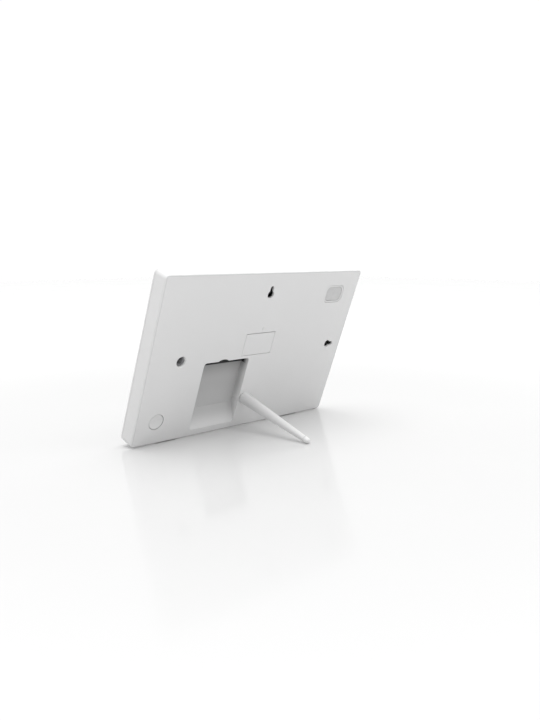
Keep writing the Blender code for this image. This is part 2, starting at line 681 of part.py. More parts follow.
EAR_X = TRAY_W / 2 + EAR_REACH / 2
EAR_RISE = TRAY_H / 2 - EAR_FROM_CORNER
EAR_PLACES = [(side * EAR_X, MIDDLE_Z + level * EAR_RISE) for side in (-1, 1) for level in (-1, 1)]


def make_front_bezel():
    """The front frame: a window, a pocket for the glass, and a tongue that enters the cover."""
    bezel = block("front_bezel", WHITE, (-WIDTH / 2, WIDTH / 2), (-DEPTH, LEDGE_BACK), (0.0, HEIGHT),
                  corner=CORNER_R, front=FRONT_EDGE_R, segments=6)
    inset = SIDE_WALL + GAP
    x, z = centred(WIDTH - 2 * inset, HEIGHT - 2 * inset)
    tongue = block("bezel_tongue", None, x, (LEDGE_BACK - 1 * MM, LEDGE_BACK + TONGUE_H), z,
                   corner=CORNER_R - SIDE_WALL, segments=3)
    x, z = centred(WIDTH - 2 * (inset + TONGUE_T), HEIGHT - 2 * (inset + TONGUE_T))
    cut(tongue, block("tongue_hollow", None, x, (LEDGE_BACK - 2 * MM, 0.0), z))
    join(bezel, tongue)
    x, z = centred(WINDOW_W, WINDOW_H)
    window = block("bezel_window", None, x, (-DEPTH - 2 * MM, 0.0), z)
    x, z = centred(WINDOW_W + 2 * (GLASS_LAP + GAP), WINDOW_H + 2 * (GLASS_LAP + GAP))
    ledge_front = -DEPTH + GLASS_INSET + GLASS_T + THIN_GAP + TAPE_T + THIN_GAP
    pocket = block("glass_pocket", None, x, (-DEPTH - 2 * MM, ledge_front), z,
                   corner=GLASS_R + GAP, segments=3)
    cut(bezel, window, pocket)
    for index, (x, z) in enumerate(EAR_PLACES):
        boss = pin(f"tray_boss_{index}", None, 2.6 * MM, (x, LEDGE_BACK - 0.5 * MM, z),
                   (x, TRAY_INNER - GAP, z), steps=12)
        join(bezel, boss)
    for index, (x, z) in enumerate(EAR_PLACES):
        cut(bezel, pin(f"tray_boss_hole_{index}", None, SCREW_R + GAP, (x, LEDGE_BACK, z),
                       (x, 0.0, z), steps=10))
    return bezel


def make_glass():
    x, z = centred(WINDOW_W + 2 * GLASS_LAP, WINDOW_H + 2 * GLASS_LAP)
    front = -DEPTH + GLASS_INSET
    block("touch_glass", COVER_GLASS, x, (front, front + GLASS_T), z, corner=GLASS_R, segments=3)
    tape_front = front + GLASS_T + THIN_GAP
    tape = block("glass_tape", TAPE, x, (tape_front, tape_front + TAPE_T), z, corner=GLASS_R, segments=3)
    inner_x, inner_z = centred(WINDOW_W + 2 * (GLASS_LAP - TAPE_W), WINDOW_H + 2 * (GLASS_LAP - TAPE_W))
    cut(tape, block("tape_window", None, inner_x, (-DEPTH, 0.0), inner_z))


def make_display():
    """The panel, its film and light guide, the lamp strip, and the tray that holds them."""
    x, z = centred(PANEL_W, PANEL_H)
    block("display_panel", PANEL, x, (PANEL_FRONT, PANEL_BACK), z)
    x, z = centred(PANEL_W - 1 * MM, PANEL_H - 1 * MM)
    block("diffuser_sheet", DIFFUSER, x, (DIFFUSER_FRONT, DIFFUSER_FRONT + DIFFUSER_T), z)
    strip_top = z[0] + LED_STRIP_H
    block("light_guide", ACRYLIC, x, (GUIDE_FRONT, GUIDE_FRONT + GUIDE_T), (strip_top + GAP, z[1]))
    block("led_strip", BOARD_GREEN, x, (GUIDE_FRONT, GUIDE_FRONT + GUIDE_T), (z[0], strip_top))
    x, z = centred(TRAY_W, TRAY_H)
    tray = block("backlight_tray", TRAY_STEEL, x, (TRAY_INNER - TRAY_LIP, TRAY_BACK), z)
    inner_x, inner_z = centred(TRAY_W - 2 * TRAY_SIDE_T, TRAY_H - 2 * TRAY_SIDE_T)
    cut(tray, block("tray_hollow", None, inner_x, (-DEPTH, TRAY_INNER), inner_z))
    for index, (x, z) in enumerate(EAR_PLACES):
        side = math.copysign(1.0, x)
        inner = side * (TRAY_W / 2 - TRAY_SIDE_T)
        outer = side * (TRAY_W / 2 + EAR_REACH - 1.0 * MM)
        ear = block(f"tray_ear_{index}", None, (min(inner, outer), max(inner, outer)),
                    (TRAY_INNER + 0.02 * MM, TRAY_BACK - 0.02 * MM), (z - EAR_H / 2, z + EAR_H / 2))
        join(tray, ear)
    for index, (x, z) in enumerate(EAR_PLACES):
        cut(tray, pin(f"ear_hole_{index}", None, SCREW_R + GAP, (x, -DEPTH, z), (x, 0.0, z), steps=10))
        make_screw(f"tray_screw_{index + 1}", x, z, TRAY_BACK + GAP, -3.4 * MM, 1)


def make_screw(name, x, z, seat, length, head_side):
    """A small pan-head screw along Y, with its shank on one side of its seat and its head on the other."""
    head = SCREW_HEAD_T * head_side
    profile = [(0.0, abs(head)), (SCREW_HEAD_R * 0.7, abs(head)), (SCREW_HEAD_R, abs(head) * 0.5),
               (SCREW_HEAD_R, 0.0), (SCREW_R, 0.0), (SCREW_R, -abs(length)), (0.0, -abs(length))]
    turn = (-math.pi / 2, 0.0, 0.0) if head_side > 0 else (math.pi / 2, 0.0, 0.0)
    return turned(name, STEEL, profile, (x, seat, z), turn, steps=12)


# ---- electronics ----------------------------------------------------------------------------------
def make_main_board():
    board = block("main_board", BOARD_GREEN, (BOARD_LEFT, BOARD_RIGHT), (BOARD_FRONT, -BOARD_BACK),
                  (BOARD_BOTTOM, BOARD_TOP))
    for index, (x, z) in enumerate(BOARD_POSTS):
        cut(board, pin(f"board_hole_{index}", None, SCREW_R + GAP, (x, -DEPTH, z), (x, 0.0, z), steps=10))
        make_screw(f"board_screw_{index + 1}", x, z, BOARD_FRONT - GAP, 5.0 * MM, -1)
    top = GAP - BOARD_BACK
    block("processor_shield", TIN, (46 * MM, 66 * MM), (top, top + 2.2 * MM),
          (BOARD_BOTTOM + 18 * MM, BOARD_BOTTOM + 36 * MM), corner=0.8 * MM, segments=2)
    block("memory_chip", CHIP_BLACK, (68.5 * MM, 79.5 * MM), (top, top + 1.0 * MM),
          (BOARD_BOTTOM + 18 * MM, BOARD_BOTTOM + 30 * MM))
    block("wifi_module", TIN, (27 * MM, 41 * MM), (top, top + 1.6 * MM),
          (BOARD_BOTTOM + 20 * MM, BOARD_BOTTOM + 36 * MM), corner=0.6 * MM, segments=2)


def make_sockets():
    """The power jack, the lead socket and the card socket, with their mouths behind the bay's ceiling."""
    low = BOARD_BOTTOM
    top = GAP - BOARD_BACK
    width, depth, length = JACK_SIZE
    jack = block("dc_jack", BLACK_PLASTIC, (PLUG_NOTCH_X - width / 2, PLUG_NOTCH_X + width / 2),
                 (top, top + depth), (low, low + length))
    axis_y = top + depth / 2
    ring = turned("jack_ring", None, [(JACK_PIN_R, 8 * MM), (JACK_BORE_R, 8 * MM), (JACK_BORE_R, -1 * MM),
                                      (JACK_PIN_R, -1 * MM), (JACK_PIN_R, 8 * MM)],
                  (PLUG_NOTCH_X, axis_y, low), steps=SMALL_STEPS)
    cut(jack, ring)
    width, depth, length = USB_SIZE
    usb = block("usb_socket", TIN, (USB_X - width / 2, USB_X + width / 2), (top, top + depth),
                (low, low + length))
    cut(usb, block("usb_mouth", None, (USB_X - width / 2 + 0.5 * MM, USB_X + width / 2 - 0.5 * MM),
                   (top + 0.5 * MM, top + depth - 0.5 * MM), (low - 1 * MM, low + length - 1 * MM)))
    width, depth, length = CARD_SIZE
    card = block("card_socket", TIN, (CARD_X - width / 2, CARD_X + width / 2), (top, top + depth),
                 (low, low + length))
    cut(card, block("card_mouth", None, (CARD_X - width / 2 + 0.6 * MM, CARD_X + width / 2 - 0.6 * MM),
                    (top + 0.5 * MM, top + depth - 0.5 * MM), (low - 1 * MM, low + length - 1 * MM)))


def make_display_flex():
    """The flat flexible lead from the back of the display to the front of the main board."""
    thickness = 0.15 * MM
    behind = (TRAY_BACK + GAP + thickness / 2, BOARD_FRONT - GAP - thickness / 2)
    low = MIDDLE_Z - TRAY_H / 2 + 6 * MM
    route = [(behind[0], low), (behind[0], BOARD_BOTTOM - 8 * MM), (behind[1], BOARD_BOTTOM - 3 * MM),
             (behind[1], BOARD_BOTTOM + 12 * MM)]
    mesh = bpy.data.meshes.new("display_flex")
    verts = [(side * FLEX_W / 2, y, z) for y, z in route for side in (-1, 1)]
    faces = [(2 * step, 2 * step + 1, 2 * step + 3, 2 * step + 2) for step in range(len(route) - 1)]
    mesh.from_pydata(verts, [], faces)
    flex = add_object("display_flex", mesh, AMBER_FILM, (FLEX_X, 0.0, 0.0))
    solid = flex.modifiers.new("film", "SOLIDIFY")
    solid.thickness = thickness
    solid.offset = 0.0


def make_speaker():
    width, depth, height = SPEAKER_SIZE
    low = SIDE_WALL + 2 * GAP
    back = -4.0 * MM
    speaker = block("speaker", BLACK_PLASTIC, (SPEAKER_X - width / 2, SPEAKER_X + width / 2),
                    (back - depth, back), (low, low + height), corner=0.0)
    dish = turned("speaker_dish", None, [(0.0, 1 * MM), (6.4 * MM, 1 * MM), (6.4 * MM, -0.4 * MM),
                                         (3.0 * MM, -1.6 * MM), (0.0, -1.2 * MM)],
                  (SPEAKER_X, back, low + height / 2), (-math.pi / 2, 0.0, 0.0), steps=20)
    cut(speaker, dish)


def make_switches():
    """A small board with a click switch behind each key."""
    for key, (x, z, reach_x, reach_z) in SWITCH_PLACES.items():
        back = -SWITCH_BOARD_BACK
        half_x = max(reach_x + SWITCH_BOARD_MARGIN, SWITCH_BOARD_HALF)
        half_z = max(reach_z + SWITCH_BOARD_MARGIN, SWITCH_BOARD_HALF)
        board = block(f"{key}_switch_board", BOARD_GREEN, (x - half_x, x + half_x),
                      (back - SWITCH_BOARD_T, back), (z - half_z, z + half_z))
        for side in (-1, 1):
            cut(board, pin(f"{key}_stake_hole_{side}", None, STAKE_R + GAP,
                           (x + side * reach_x, -DEPTH, z + side * reach_z),
                           (x + side * reach_x, 0.0, z + side * reach_z), steps=10))
        seat = back + GAP
        switch = block(f"{key}_switch", BLACK_PLASTIC, (x - SWITCH_SIZE / 2, x + SWITCH_SIZE / 2),
                       (seat, seat + SWITCH_H), (z - SWITCH_SIZE / 2, z + SWITCH_SIZE / 2))
        cut(switch, pin(f"{key}_switch_bore", None, PLUNGER_R + GAP, (x, seat + 0.3 * MM, z),
                        (x, 0.0, z), steps=SMALL_STEPS))
        top = seat + SWITCH_H + PLUNGER_PROUD
        pin(f"{key}_plunger", GREY_RUBBER, PLUNGER_R, (x, top - PLUNGER_L, z), (x, top, z),
            steps=12)


# ---- keys -----------------------------------------------------------------------------------------
PLUNGER_TOP = GAP - SWITCH_BOARD_BACK + SWITCH_H + PLUNGER_PROUD
STEM_END = PLUNGER_TOP + GAP


def make_menu_key():
    """The large rounded key, with a soft pad let into its face."""
    half_w = MENU_W / 2 - GAP
    half_h = MENU_H / 2 - GAP
    back = -(COLLAR_DEPTH + GAP)
    key = block("menu_key", KEY_WHITE, (MENU_X - half_w, MENU_X + half_w), (back - FLANGE_T, -KEY_INSET),
                (MENU_Z - half_h, MENU_Z + half_h), corner=MENU_R - GAP, rear=0.4 * MM, segments=6)
    flange = block("menu_flange", None,
                   (MENU_X - half_w - FLANGE_LAP, MENU_X + half_w + FLANGE_LAP), (back - FLANGE_T, back),
                   (MENU_Z - half_h - FLANGE_LAP, MENU_Z + half_h + FLANGE_LAP),
                   corner=MENU_R - GAP + FLANGE_LAP)
    stem = pin("menu_stem", None, PLUNGER_R, (MENU_X, STEM_END, MENU_Z), (MENU_X, back, MENU_Z), steps=12)
    pad_w = MENU_W / 2 - MENU_RIM
    pad_h = MENU_H / 2 - MENU_RIM * 0.8
    pad_front = -(KEY_INSET + 0.25 * MM)
    pocket = block("pad_pocket", None, (MENU_X - pad_w - GAP, MENU_X + pad_w + GAP),
                   (pad_front - PAD_T - GAP, 2 * MM), (MENU_Z - pad_h - GAP, MENU_Z + pad_h + GAP),
                   corner=MENU_R - MENU_RIM + GAP)
    join(key, flange, stem)
    cut(key, pocket)
    block("menu_key_pad", PALE_RUBBER, (MENU_X - pad_w, MENU_X + pad_w), (pad_front - PAD_T, pad_front),
          (MENU_Z - pad_h, MENU_Z + pad_h), corner=MENU_R - MENU_RIM, rear=0.25 * MM)


def make_power_button():
    """The round button, dished for a fingertip."""
    radius = POWER_R - GAP
    back = -(COLLAR_DEPTH + GAP)
    dished = radius - POWER_RIM
    sphere = (dished * dished + POWER_DISH * POWER_DISH) / (2 * POWER_DISH)
    dish = []
    for step in range(5):
        across = dished * step / 4
        dish.append((across, -KEY_INSET + sphere - POWER_DISH - math.sqrt(sphere ** 2 - across ** 2)))
    profile = dish + [(radius - 0.25 * MM, -KEY_INSET), (radius, -KEY_INSET - 0.25 * MM), (radius, back),
                      (radius + FLANGE_LAP, back), (radius + FLANGE_LAP, back - FLANGE_T),
                      (PLUNGER_R, back - FLANGE_T), (PLUNGER_R, STEM_END), (0.0, STEM_END)]
    turned("power_button", KEY_WHITE, profile, (POWER_X, 0.0, POWER_Z), (-math.pi / 2, 0.0, 0.0))


# ---- cell and its door ----------------------------------------------------------------------------
def make_cell():
    """The clock's coin cell on the floor of its well, between two contacts."""
    x = (DOOR_LEFT + DOOR_RIGHT) / 2
    z = (DOOR_BOTTOM + DOOR_TOP) / 2 + 1.0 * MM
    floor = -WELL_FLOOR + GAP
    pin("cell_base_contact", STEEL, 3.0 * MM, (x, floor, z), (x, floor + CONTACT_T, z), steps=SMALL_STEPS)
    low = floor + CONTACT_T + GAP
    cell = pin("coin_cell", STEEL, CELL_R, (x, low, z), (x, low + CELL_T, z), steps=ROUND_STEPS,
               bevel=0.25 * MM)
    side = x + CELL_R + GAP
    clip = block("cell_side_contact", STEEL, (side, side + CONTACT_T), (floor, low + CELL_T + CONTACT_T + GAP),
                 (z - 3 * MM, z + 3 * MM))
    tongue = block("contact_tongue", None, (side - 3 * MM, side + CONTACT_T / 2),
                   (low + CELL_T + GAP, low + CELL_T + GAP + CONTACT_T - 0.02 * MM),
                   (z - 2.5 * MM, z + 2.5 * MM))
    join(clip, tongue)
    return cell


def make_battery_door():
    """The small door: hinged near its lower edge on a pin, with a nail slot and a catch at its top."""
    left = DOOR_LEFT + DOOR_SLIT
    right = DOOR_RIGHT - DOOR_SLIT
    half = (right - left) / 2
    middle = (left + right) / 2
    height = DOOR_TOP - DOOR_TOP_SLIT - DOOR_AXIS_Z
    face = HINGE_DEPTH
    hinge = new_empty("door_hinge", (middle, DOOR_AXIS_Y, DOOR_AXIS_Z), parent=lean)
    rounded = arc((face - DOOR_ROUND, DOOR_ROUND - DOOR_TAIL), DOOR_ROUND, -90.0, 0.0, 3)
    outline = [(face - DOOR_T, -DOOR_TAIL)] + rounded + [(face, height), (face - DOOR_T, height)]
    leaf = plate("battery_door", WHITE, outline, 2 * half, (0.0, 0.0, 0.0), SIDEWAYS, parent=hinge)
    leaf.data.transform(leaf.matrix_basis)
    leaf.rotation_euler = (0.0, 0.0, 0.0)
    barrel = pin("door_barrel", None, HINGE_BARREL_R, (-half, 0.0, 0.0), (half, 0.0, 0.0),
                 steps=SMALL_STEPS, parent=hinge)
    catch = block("door_catch", None, (-5 * MM, 5 * MM), (face - DOOR_T - 2.0 * MM, face - DOOR_T + 0.5 * MM),
                  (height - 2.8 * MM, height - 1.6 * MM), parent=hinge)
    bore = pin("door_bore", None, HINGE_PIN_R + GAP, (-half - 1 * MM, 0.0, 0.0), (half + 1 * MM, 0.0, 0.0),
               steps=12, parent=hinge)
    join(leaf, barrel, catch)
    cut(leaf, bore)
    pin("door_hinge_pin", STEEL, HINGE_PIN_R,
        (DOOR_LEFT - WELL_WALL + 0.7 * MM, DOOR_AXIS_Y, DOOR_AXIS_Z),
        (DOOR_RIGHT + WELL_WALL - 0.7 * MM, DOOR_AXIS_Y, DOOR_AXIS_Z), steps=12)


# ---- leg ------------------------------------------------------------------------------------------
def make_leg():
    """The turned leg on its threaded stud, screwed home on a soft washer in the socket's mouth."""
    root, out = SOCKETS["landscape"]
    axis = new_empty("leg_axis", root, out.to_track_quat("Z", "Y").to_euler(), lean)
    seat = GAP
    end = LEG_REACH + LEG_TIP_R - LEG_CAP_L - GAP
    taper = (LEG_BASE_R - LEG_TIP_R) / (end - seat)
    bore = STUD_R + GAP
    rounded = arc((LEG_BASE_R - LEG_END_ROUND, seat + LEG_END_ROUND), LEG_END_ROUND, 0.0, -90.0, 3)
    profile = [(0.0, end + LEG_SPIGOT_L), (LEG_SPIGOT_R, end + LEG_SPIGOT_L), (LEG_SPIGOT_R, end),
               (LEG_TIP_R, end), (LEG_BASE_R - taper * LEG_END_ROUND, seat + 2 * LEG_END_ROUND)]
    profile += rounded[1:] + [(bore, seat), (bore, seat + STUD_IN_LEG), (0.0, seat + STUD_IN_LEG)]
    turned("stand_leg", LEG_WHITE, profile, (0.0, 0.0, 0.0), parent=axis, steps=40)
    centre = LEG_REACH
    dome = arc((0.0, centre), LEG_TIP_R, 90.0, 0.0, 6)
    low = end + GAP
    cap = [(0.0, centre + LEG_TIP_R)] + dome[1:] + [
        (LEG_TIP_R, low), (LEG_SPIGOT_R + GAP, low), (LEG_SPIGOT_R + GAP, end + LEG_SPIGOT_L + GAP),
        (0.0, end + LEG_SPIGOT_L + GAP)]
    turned("stand_tip", PALE_RUBBER, cap, (0.0, 0.0, 0.0), parent=axis, steps=24)
    stud_end = 0.5 * MM - STUD_OUT
    stud_top = seat + STUD_IN_LEG - GAP
    turned("stand_stud", STEEL, [(0.0, stud_top), (STUD_R, stud_top), (STUD_R, stud_end + 0.6 * MM),
                                 (STUD_R - 0.6 * MM, stud_end), (0.0, stud_end)],
           (0.0, 0.0, 0.0), parent=axis, steps=24)
    turned("stand_washer", DARK_RUBBER,
           [(bore, 0.0), (WASHER_R, 0.0), (WASHER_R, GAP - SOCKET_MOUTH_DEPTH),
            (bore, GAP - SOCKET_MOUTH_DEPTH), (bore, 0.0)], (0.0, 0.0, 0.0), parent=axis, steps=24)


def make_inserts():
    """A plated steel threaded insert in each socket."""
    for way, (root, out) in SOCKETS.items():
        mouth = root - out * (SOCKET_MOUTH_DEPTH + GAP)
        bore = STUD_R + GAP
        length = INSERT_L - GAP
        turned(f"stand_insert_{way}", STEEL,
               [(bore, 0.0), (INSERT_R, 0.0), (INSERT_R, -length), (bore, -length), (bore, 0.0)],
               mouth, out.to_track_quat("Z", "Y").to_euler(), steps=24)


# ---- feet -----------------------------------------------------------------------------------------
def floor_below(y):
    """Height of the table under the tipped frame, in the upright axes."""
    return (y * math.sin(LEAN) - REAR_EDGE_Z) / math.cos(LEAN)


def make_feet():
    """Wedge feet whose soles lie flat on the table when the frame leans back."""
    for side, name in ((-1, "foot_left"), (1, "foot_right")):
        top = FOOT_POCKET - GAP
        wedge = [(-FOOT_FRONT, top), (-FOOT_FRONT, floor_below(-FOOT_FRONT)),
                 (-FOOT_REAR, floor_below(-FOOT_REAR)), (-FOOT_REAR, top)]
        plate(name, GREY_RUBBER, wedge, FOOT_L, (side * FOOT_X, 0.0, 0.0), SIDEWAYS)


def build():
    make_rear_cover()
    make_front_bezel()
    make_glass()
    make_display()
    make_main_board()
    make_sockets()
    make_display_flex()
    make_speaker()
    make_keyhole_plates()
    make_inserts()
    make_switches()
    make_menu_key()
    make_power_button()
    make_cell()
    make_battery_door()
    make_leg()
    make_feet()


build()
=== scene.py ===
"""Finishes, small hardware and a studio for a digital photo frame that leans on a round leg."""
import json
import math

import bmesh
import bpy
from bpy.props import FloatProperty, FloatVectorProperty, IntProperty, PointerProperty
from mathutils import Matrix, Vector


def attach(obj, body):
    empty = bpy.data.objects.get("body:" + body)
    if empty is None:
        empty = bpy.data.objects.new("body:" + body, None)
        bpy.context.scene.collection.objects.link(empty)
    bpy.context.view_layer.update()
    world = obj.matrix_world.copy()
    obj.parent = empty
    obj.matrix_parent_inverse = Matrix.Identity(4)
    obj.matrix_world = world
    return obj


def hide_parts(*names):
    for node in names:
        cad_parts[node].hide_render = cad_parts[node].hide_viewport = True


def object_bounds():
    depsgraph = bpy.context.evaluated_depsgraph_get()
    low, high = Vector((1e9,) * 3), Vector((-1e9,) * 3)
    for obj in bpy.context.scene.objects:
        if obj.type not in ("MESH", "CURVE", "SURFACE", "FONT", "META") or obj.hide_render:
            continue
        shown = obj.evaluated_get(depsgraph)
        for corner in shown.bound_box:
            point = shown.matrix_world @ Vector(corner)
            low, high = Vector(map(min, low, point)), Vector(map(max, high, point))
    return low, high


bl_info = {
    "name": "Digital Photo Frame",
    "version": (1, 0, 0),
    "blender": (4, 5, 0),
    "location": "View3D > Sidebar > Photo Frame",
    "description": "Dresses the packed photo frame with finishes, threads, ports and a studio",
    "category": "Object",
}

MM = 0.001
TURN = 2 * math.pi

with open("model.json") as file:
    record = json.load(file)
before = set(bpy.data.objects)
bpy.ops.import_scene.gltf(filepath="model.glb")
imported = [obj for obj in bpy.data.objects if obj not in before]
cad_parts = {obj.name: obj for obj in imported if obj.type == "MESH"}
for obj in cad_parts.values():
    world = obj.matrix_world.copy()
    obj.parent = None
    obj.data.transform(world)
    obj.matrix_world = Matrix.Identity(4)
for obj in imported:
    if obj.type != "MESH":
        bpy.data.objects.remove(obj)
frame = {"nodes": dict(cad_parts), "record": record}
CAD_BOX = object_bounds()
JOINTS = {joint["name"]: joint for joint in frame["record"]["behaviour"]["joints"]}

# ---- places on the back panel: X from its middle, Z up from its foot -------------------------------
LEG_HEIGHT = 34.3 * MM
BAY_LEFT = 6.6 * MM
BAY_RIGHT = 63.8 * MM
BAY_RAMP_TOP = 26.0 * MM
BAY_MIDDLE = 55.0 * MM
BAY_TOP = 80.2 * MM
BAY_WALL = 1.0 * MM
# painted shadow: a dark strip across the plug bay, some way below its ceiling
SHADOW_STRIP_LOW = BAY_TOP - 8.4 * MM      # the bay's darkest strip fades in between these, below its ceiling
SHADOW_STRIP_HIGH = BAY_TOP - 7.0 * MM
DISC_X = 106.5 * MM
DISC_Z = 24.4 * MM
DISC_RADIUS = 8.05 * MM

# ---- the frame's own upright axes: X along its width, -Y out of the screen, Z up its back ----------
PANEL_OUT = -Vector(JOINTS["menu_key_press"]["axis"]).normalized()
LEG_OUT = Vector(JOINTS["leg_turn"]["axis"]).normalized()
LEG_ROOT = Vector(JOINTS["leg_turn"]["pos_m"])
ACROSS = Vector((1.0, 0.0, 0.0))
PANEL_UP = ACROSS.cross(PANEL_OUT).normalized()
PANEL_FOOT = LEG_ROOT - PANEL_UP * LEG_HEIGHT


def facing(origin, across, out):
    """A placement whose Z axis points out of a surface and whose X axis runs across it."""
    up = out.cross(across).normalized()
    turn = Matrix((across, up, out)).transposed().to_4x4()
    return Matrix.Translation(origin) @ turn


def on_back(x, z, y):
    """A placement on the back panel: X across, Y up the panel, Z out of it."""
    return facing(PANEL_FOOT + ACROSS * x + PANEL_UP * z + PANEL_OUT * y, -ACROSS, PANEL_OUT)


def upright(x, y, z):
    """A placement along the frame's own upright axes."""
    turn = Matrix((ACROSS, PANEL_OUT, PANEL_UP)).transposed().to_4x4()
    return Matrix.Translation(PANEL_FOOT + ACROSS * x + PANEL_OUT * y + PANEL_UP * z) @ turn


# ---- shader wiring --------------------------------------------------------------------------------
class Wire:
    """An output of a shader node; arithmetic on it adds Math nodes."""

    def __init__(self, finish, socket):
        self.finish = finish
        self.socket = socket

    def math(self, operation, first, second=0.0):
        return self.finish.node("ShaderNodeMath", {"operation": operation}, {0: first, 1: second})

    def __add__(self, other):
        return self.math("ADD", self, other)

    def __radd__(self, other):
        return self.math("ADD", other, self)

    def __sub__(self, other):
        return self.math("SUBTRACT", self, other)

    def __rsub__(self, other):
        return self.math("SUBTRACT", other, self)

    def __mul__(self, other):
        return self.math("MULTIPLY", self, other)

    def __rmul__(self, other):
        return self.math("MULTIPLY", other, self)

    def __abs__(self):
        return self.math("ABSOLUTE", self)


class Finish:
    """A procedural material under construction, with its shader's plain values already set."""

    def __init__(self, name, **plain):
        self.material = bpy.data.materials.new(name)
        self.material.use_nodes = True
        self.tree = self.material.node_tree
        self.shader = self.tree.nodes["Principled BSDF"]
        for socket, value in plain.items():
            self.shader.inputs[socket.replace("_", " ")].default_value = value

    def node(self, kind, settings=None, inputs=None, output=0):
        """Adds a node: its settings first, then the values or wires of its sockets."""
        node = self.tree.nodes.new(kind)
        for name, value in (settings or {}).items():
            setattr(node, name, value)
        for name, value in (inputs or {}).items():
            if isinstance(value, Wire):
                self.tree.links.new(value.socket, node.inputs[name])
            else:
                node.inputs[name].default_value = value
        return Wire(self, node.outputs[output])

    def place(self):
        return self.node("ShaderNodeTexCoord", output="Object")

    def spread(self, way, stretch):
        """Coordinates scaled along the three axes, which stretches a grain."""
        return self.node("ShaderNodeVectorMath", {"operation": "MULTIPLY"}, {0: way, 1: stretch})

    def along(self, way, direction, origin):
        """Distance from an origin along a direction."""
        dot = self.node("ShaderNodeVectorMath", {"operation": "DOT_PRODUCT"}, {0: way, 1: direction},
                        output="Value")
        return dot - direction.dot(origin)

    def noise(self, way, scale, detail=3.0, roughness=0.55):
        return self.node("ShaderNodeTexNoise", {}, {"Vector": way, "Scale": scale, "Detail": detail,
                                                    "Roughness": roughness})

    def cells(self, way, scale, feature="F1"):
        return self.node("ShaderNodeTexVoronoi", {"feature": feature}, {"Vector": way, "Scale": scale})

    def band(self, value, low, high):
        """0 below low and 1 above high, smooth between."""
        return self.node("ShaderNodeMapRange", {"interpolation_type": "SMOOTHSTEP"},
                         {"Value": value, "From Min": low, "From Max": high})

    def blend(self, factor, first, second):
        """A colour between two others."""
        return self.node("ShaderNodeMix", {"data_type": "RGBA"},
                         {"Factor": factor, 6: first, 7: second}, output=2)

    def bump(self, height, distance):
        return self.node("ShaderNodeBump", {}, {"Strength": 1.0, "Distance": distance, "Height": height})

    def feed(self, **wires):
        """Joins wires to the shader and hands back the finished material."""
        for socket, wire in wires.items():
            self.tree.links.new(wire.socket, self.shader.inputs[socket.replace("_", " ")])
        return self.material


def rgba(colour, level=1.0):
    return (min(colour[0] * level, 1.0), min(colour[1] * level, 1.0), min(colour[2] * level, 1.0), 1.0)


# ---- finishes -------------------------------------------------------------------------------------
def moulded(name, colour, roughness, grain=0.35 * MM, depth=0.012 * MM, shift=0.02):
    """Moulded plastic: fine spark-eroded grain, faint flow marks and a little handling shine."""
    finish = Finish(name, Specular_IOR_Level=0.5)
    way = finish.place()
    fine = finish.noise(way, 1.0 / grain, 2.0)
    flow = finish.noise(finish.spread(way, (14.0, 14.0, 5.0)), 1.0, 3.0)
    shine = finish.noise(way, 38.0, 4.0, 0.6)
    tone = finish.blend(flow, rgba(colour, 1.0 - shift), rgba(colour, 1.0 + shift))
    return finish.feed(Base_Color=tone, Roughness=roughness - 0.05 + shine * 0.1,
                       Normal=finish.bump(fine, depth))


def rear_shell(name, casing):
    """The casing's grain, a duller plug bay darkened with painted shade, and painted shade lines round the
    back, the disc and the foot.
    """
    finish = Finish(name, Specular_IOR_Level=0.5)
    way = finish.place()
    across = finish.along(way, ACROSS, PANEL_FOOT)
    up = finish.along(way, PANEL_UP, PANEL_FOOT)
    depth = 0.0 - finish.along(way, PANEL_OUT, PANEL_FOOT)
    soft = 0.3 * MM
    left, right, top = BAY_LEFT - BAY_WALL, BAY_RIGHT + BAY_WALL, BAY_TOP + BAY_WALL
    inside = (finish.band(across, left - soft, left) * (1.0 - finish.band(across, right, right + soft))
              * (1.0 - finish.band(up, top, top + soft)))
    sunk = finish.band(depth, 0.0, 8.0 * MM) * inside
    # painted shade in the plug bay: its colour darkens with depth into the bay, and more towards its
    # ceiling
    lower = finish.band(up, BAY_RAMP_TOP, BAY_MIDDLE)
    upper = finish.band(up, BAY_MIDDLE, BAY_TOP)
    # painted shadow: the dark strip across the bay below its ceiling
    strip = finish.band(up, SHADOW_STRIP_LOW, SHADOW_STRIP_HIGH)
    shade = casing.bay_painted_shade * (0.6 + 0.25 * lower + 0.7 * upper + 1.1 * strip)
    from_side = casing.width / 2 - abs(across)
    from_end = casing.height / 2 - abs(up - casing.height / 2)
    from_edge = finish.node("ShaderNodeMath", {"operation": "MINIMUM"}, {0: from_side, 1: from_end})
    # painted shade: a dark line round the back where its edge round begins
    line = (1.0 - finish.band(abs(from_edge - casing.edge_round), 0.25 * MM, 0.6 * MM)) * (
        1.0 - finish.band(depth, 0.3 * MM, 0.6 * MM))
    # painted shadow: a dark line along the foot of the casing, where it meets the floor
    foot_contact_shadow = 1.0 - finish.band(up, 0.4 * MM, 1.2 * MM)
    # painted shade: a dark circle in the gap round the power disc
    from_disc = finish.node("ShaderNodeVectorMath", {"operation": "DISTANCE"},
                            {0: way, 1: upright(DISC_X, 0.0, DISC_Z).translation}, output="Value")
    gap_shade_circle = 1.0 - finish.band(abs(from_disc - DISC_RADIUS), 0.15 * MM, 0.4 * MM)
    fine = finish.noise(way, 1.0 / casing.grain, 2.0)
    coarse = finish.noise(way, 0.4 / casing.grain, 4.0, 0.7)
    flow = finish.noise(finish.spread(way, (14.0, 14.0, 5.0)), 1.0, 3.0)
    shine = finish.noise(way, 38.0, 4.0, 0.6)
    tone = finish.blend(flow, rgba(casing.colour, 0.98), rgba(casing.colour, 1.02))
    # the painted shade of the bay and of the lines, with the bay's coarser grain, darkens the colour
    # towards black
    dark = sunk * shade + sunk * coarse * 0.04 + (line + gap_shade_circle * 2.5 + foot_contact_shadow * 5.0) * casing.painted_shade_lines
    tone = finish.blend(dark, tone, (0.0, 0.0, 0.0, 1.0))
    return finish.feed(Base_Color=tone, Roughness=casing.roughness - 0.05 + shine * 0.1 + sunk * 0.1,
                       Normal=finish.bump(fine + sunk * coarse * 0.5, 0.012 * MM))


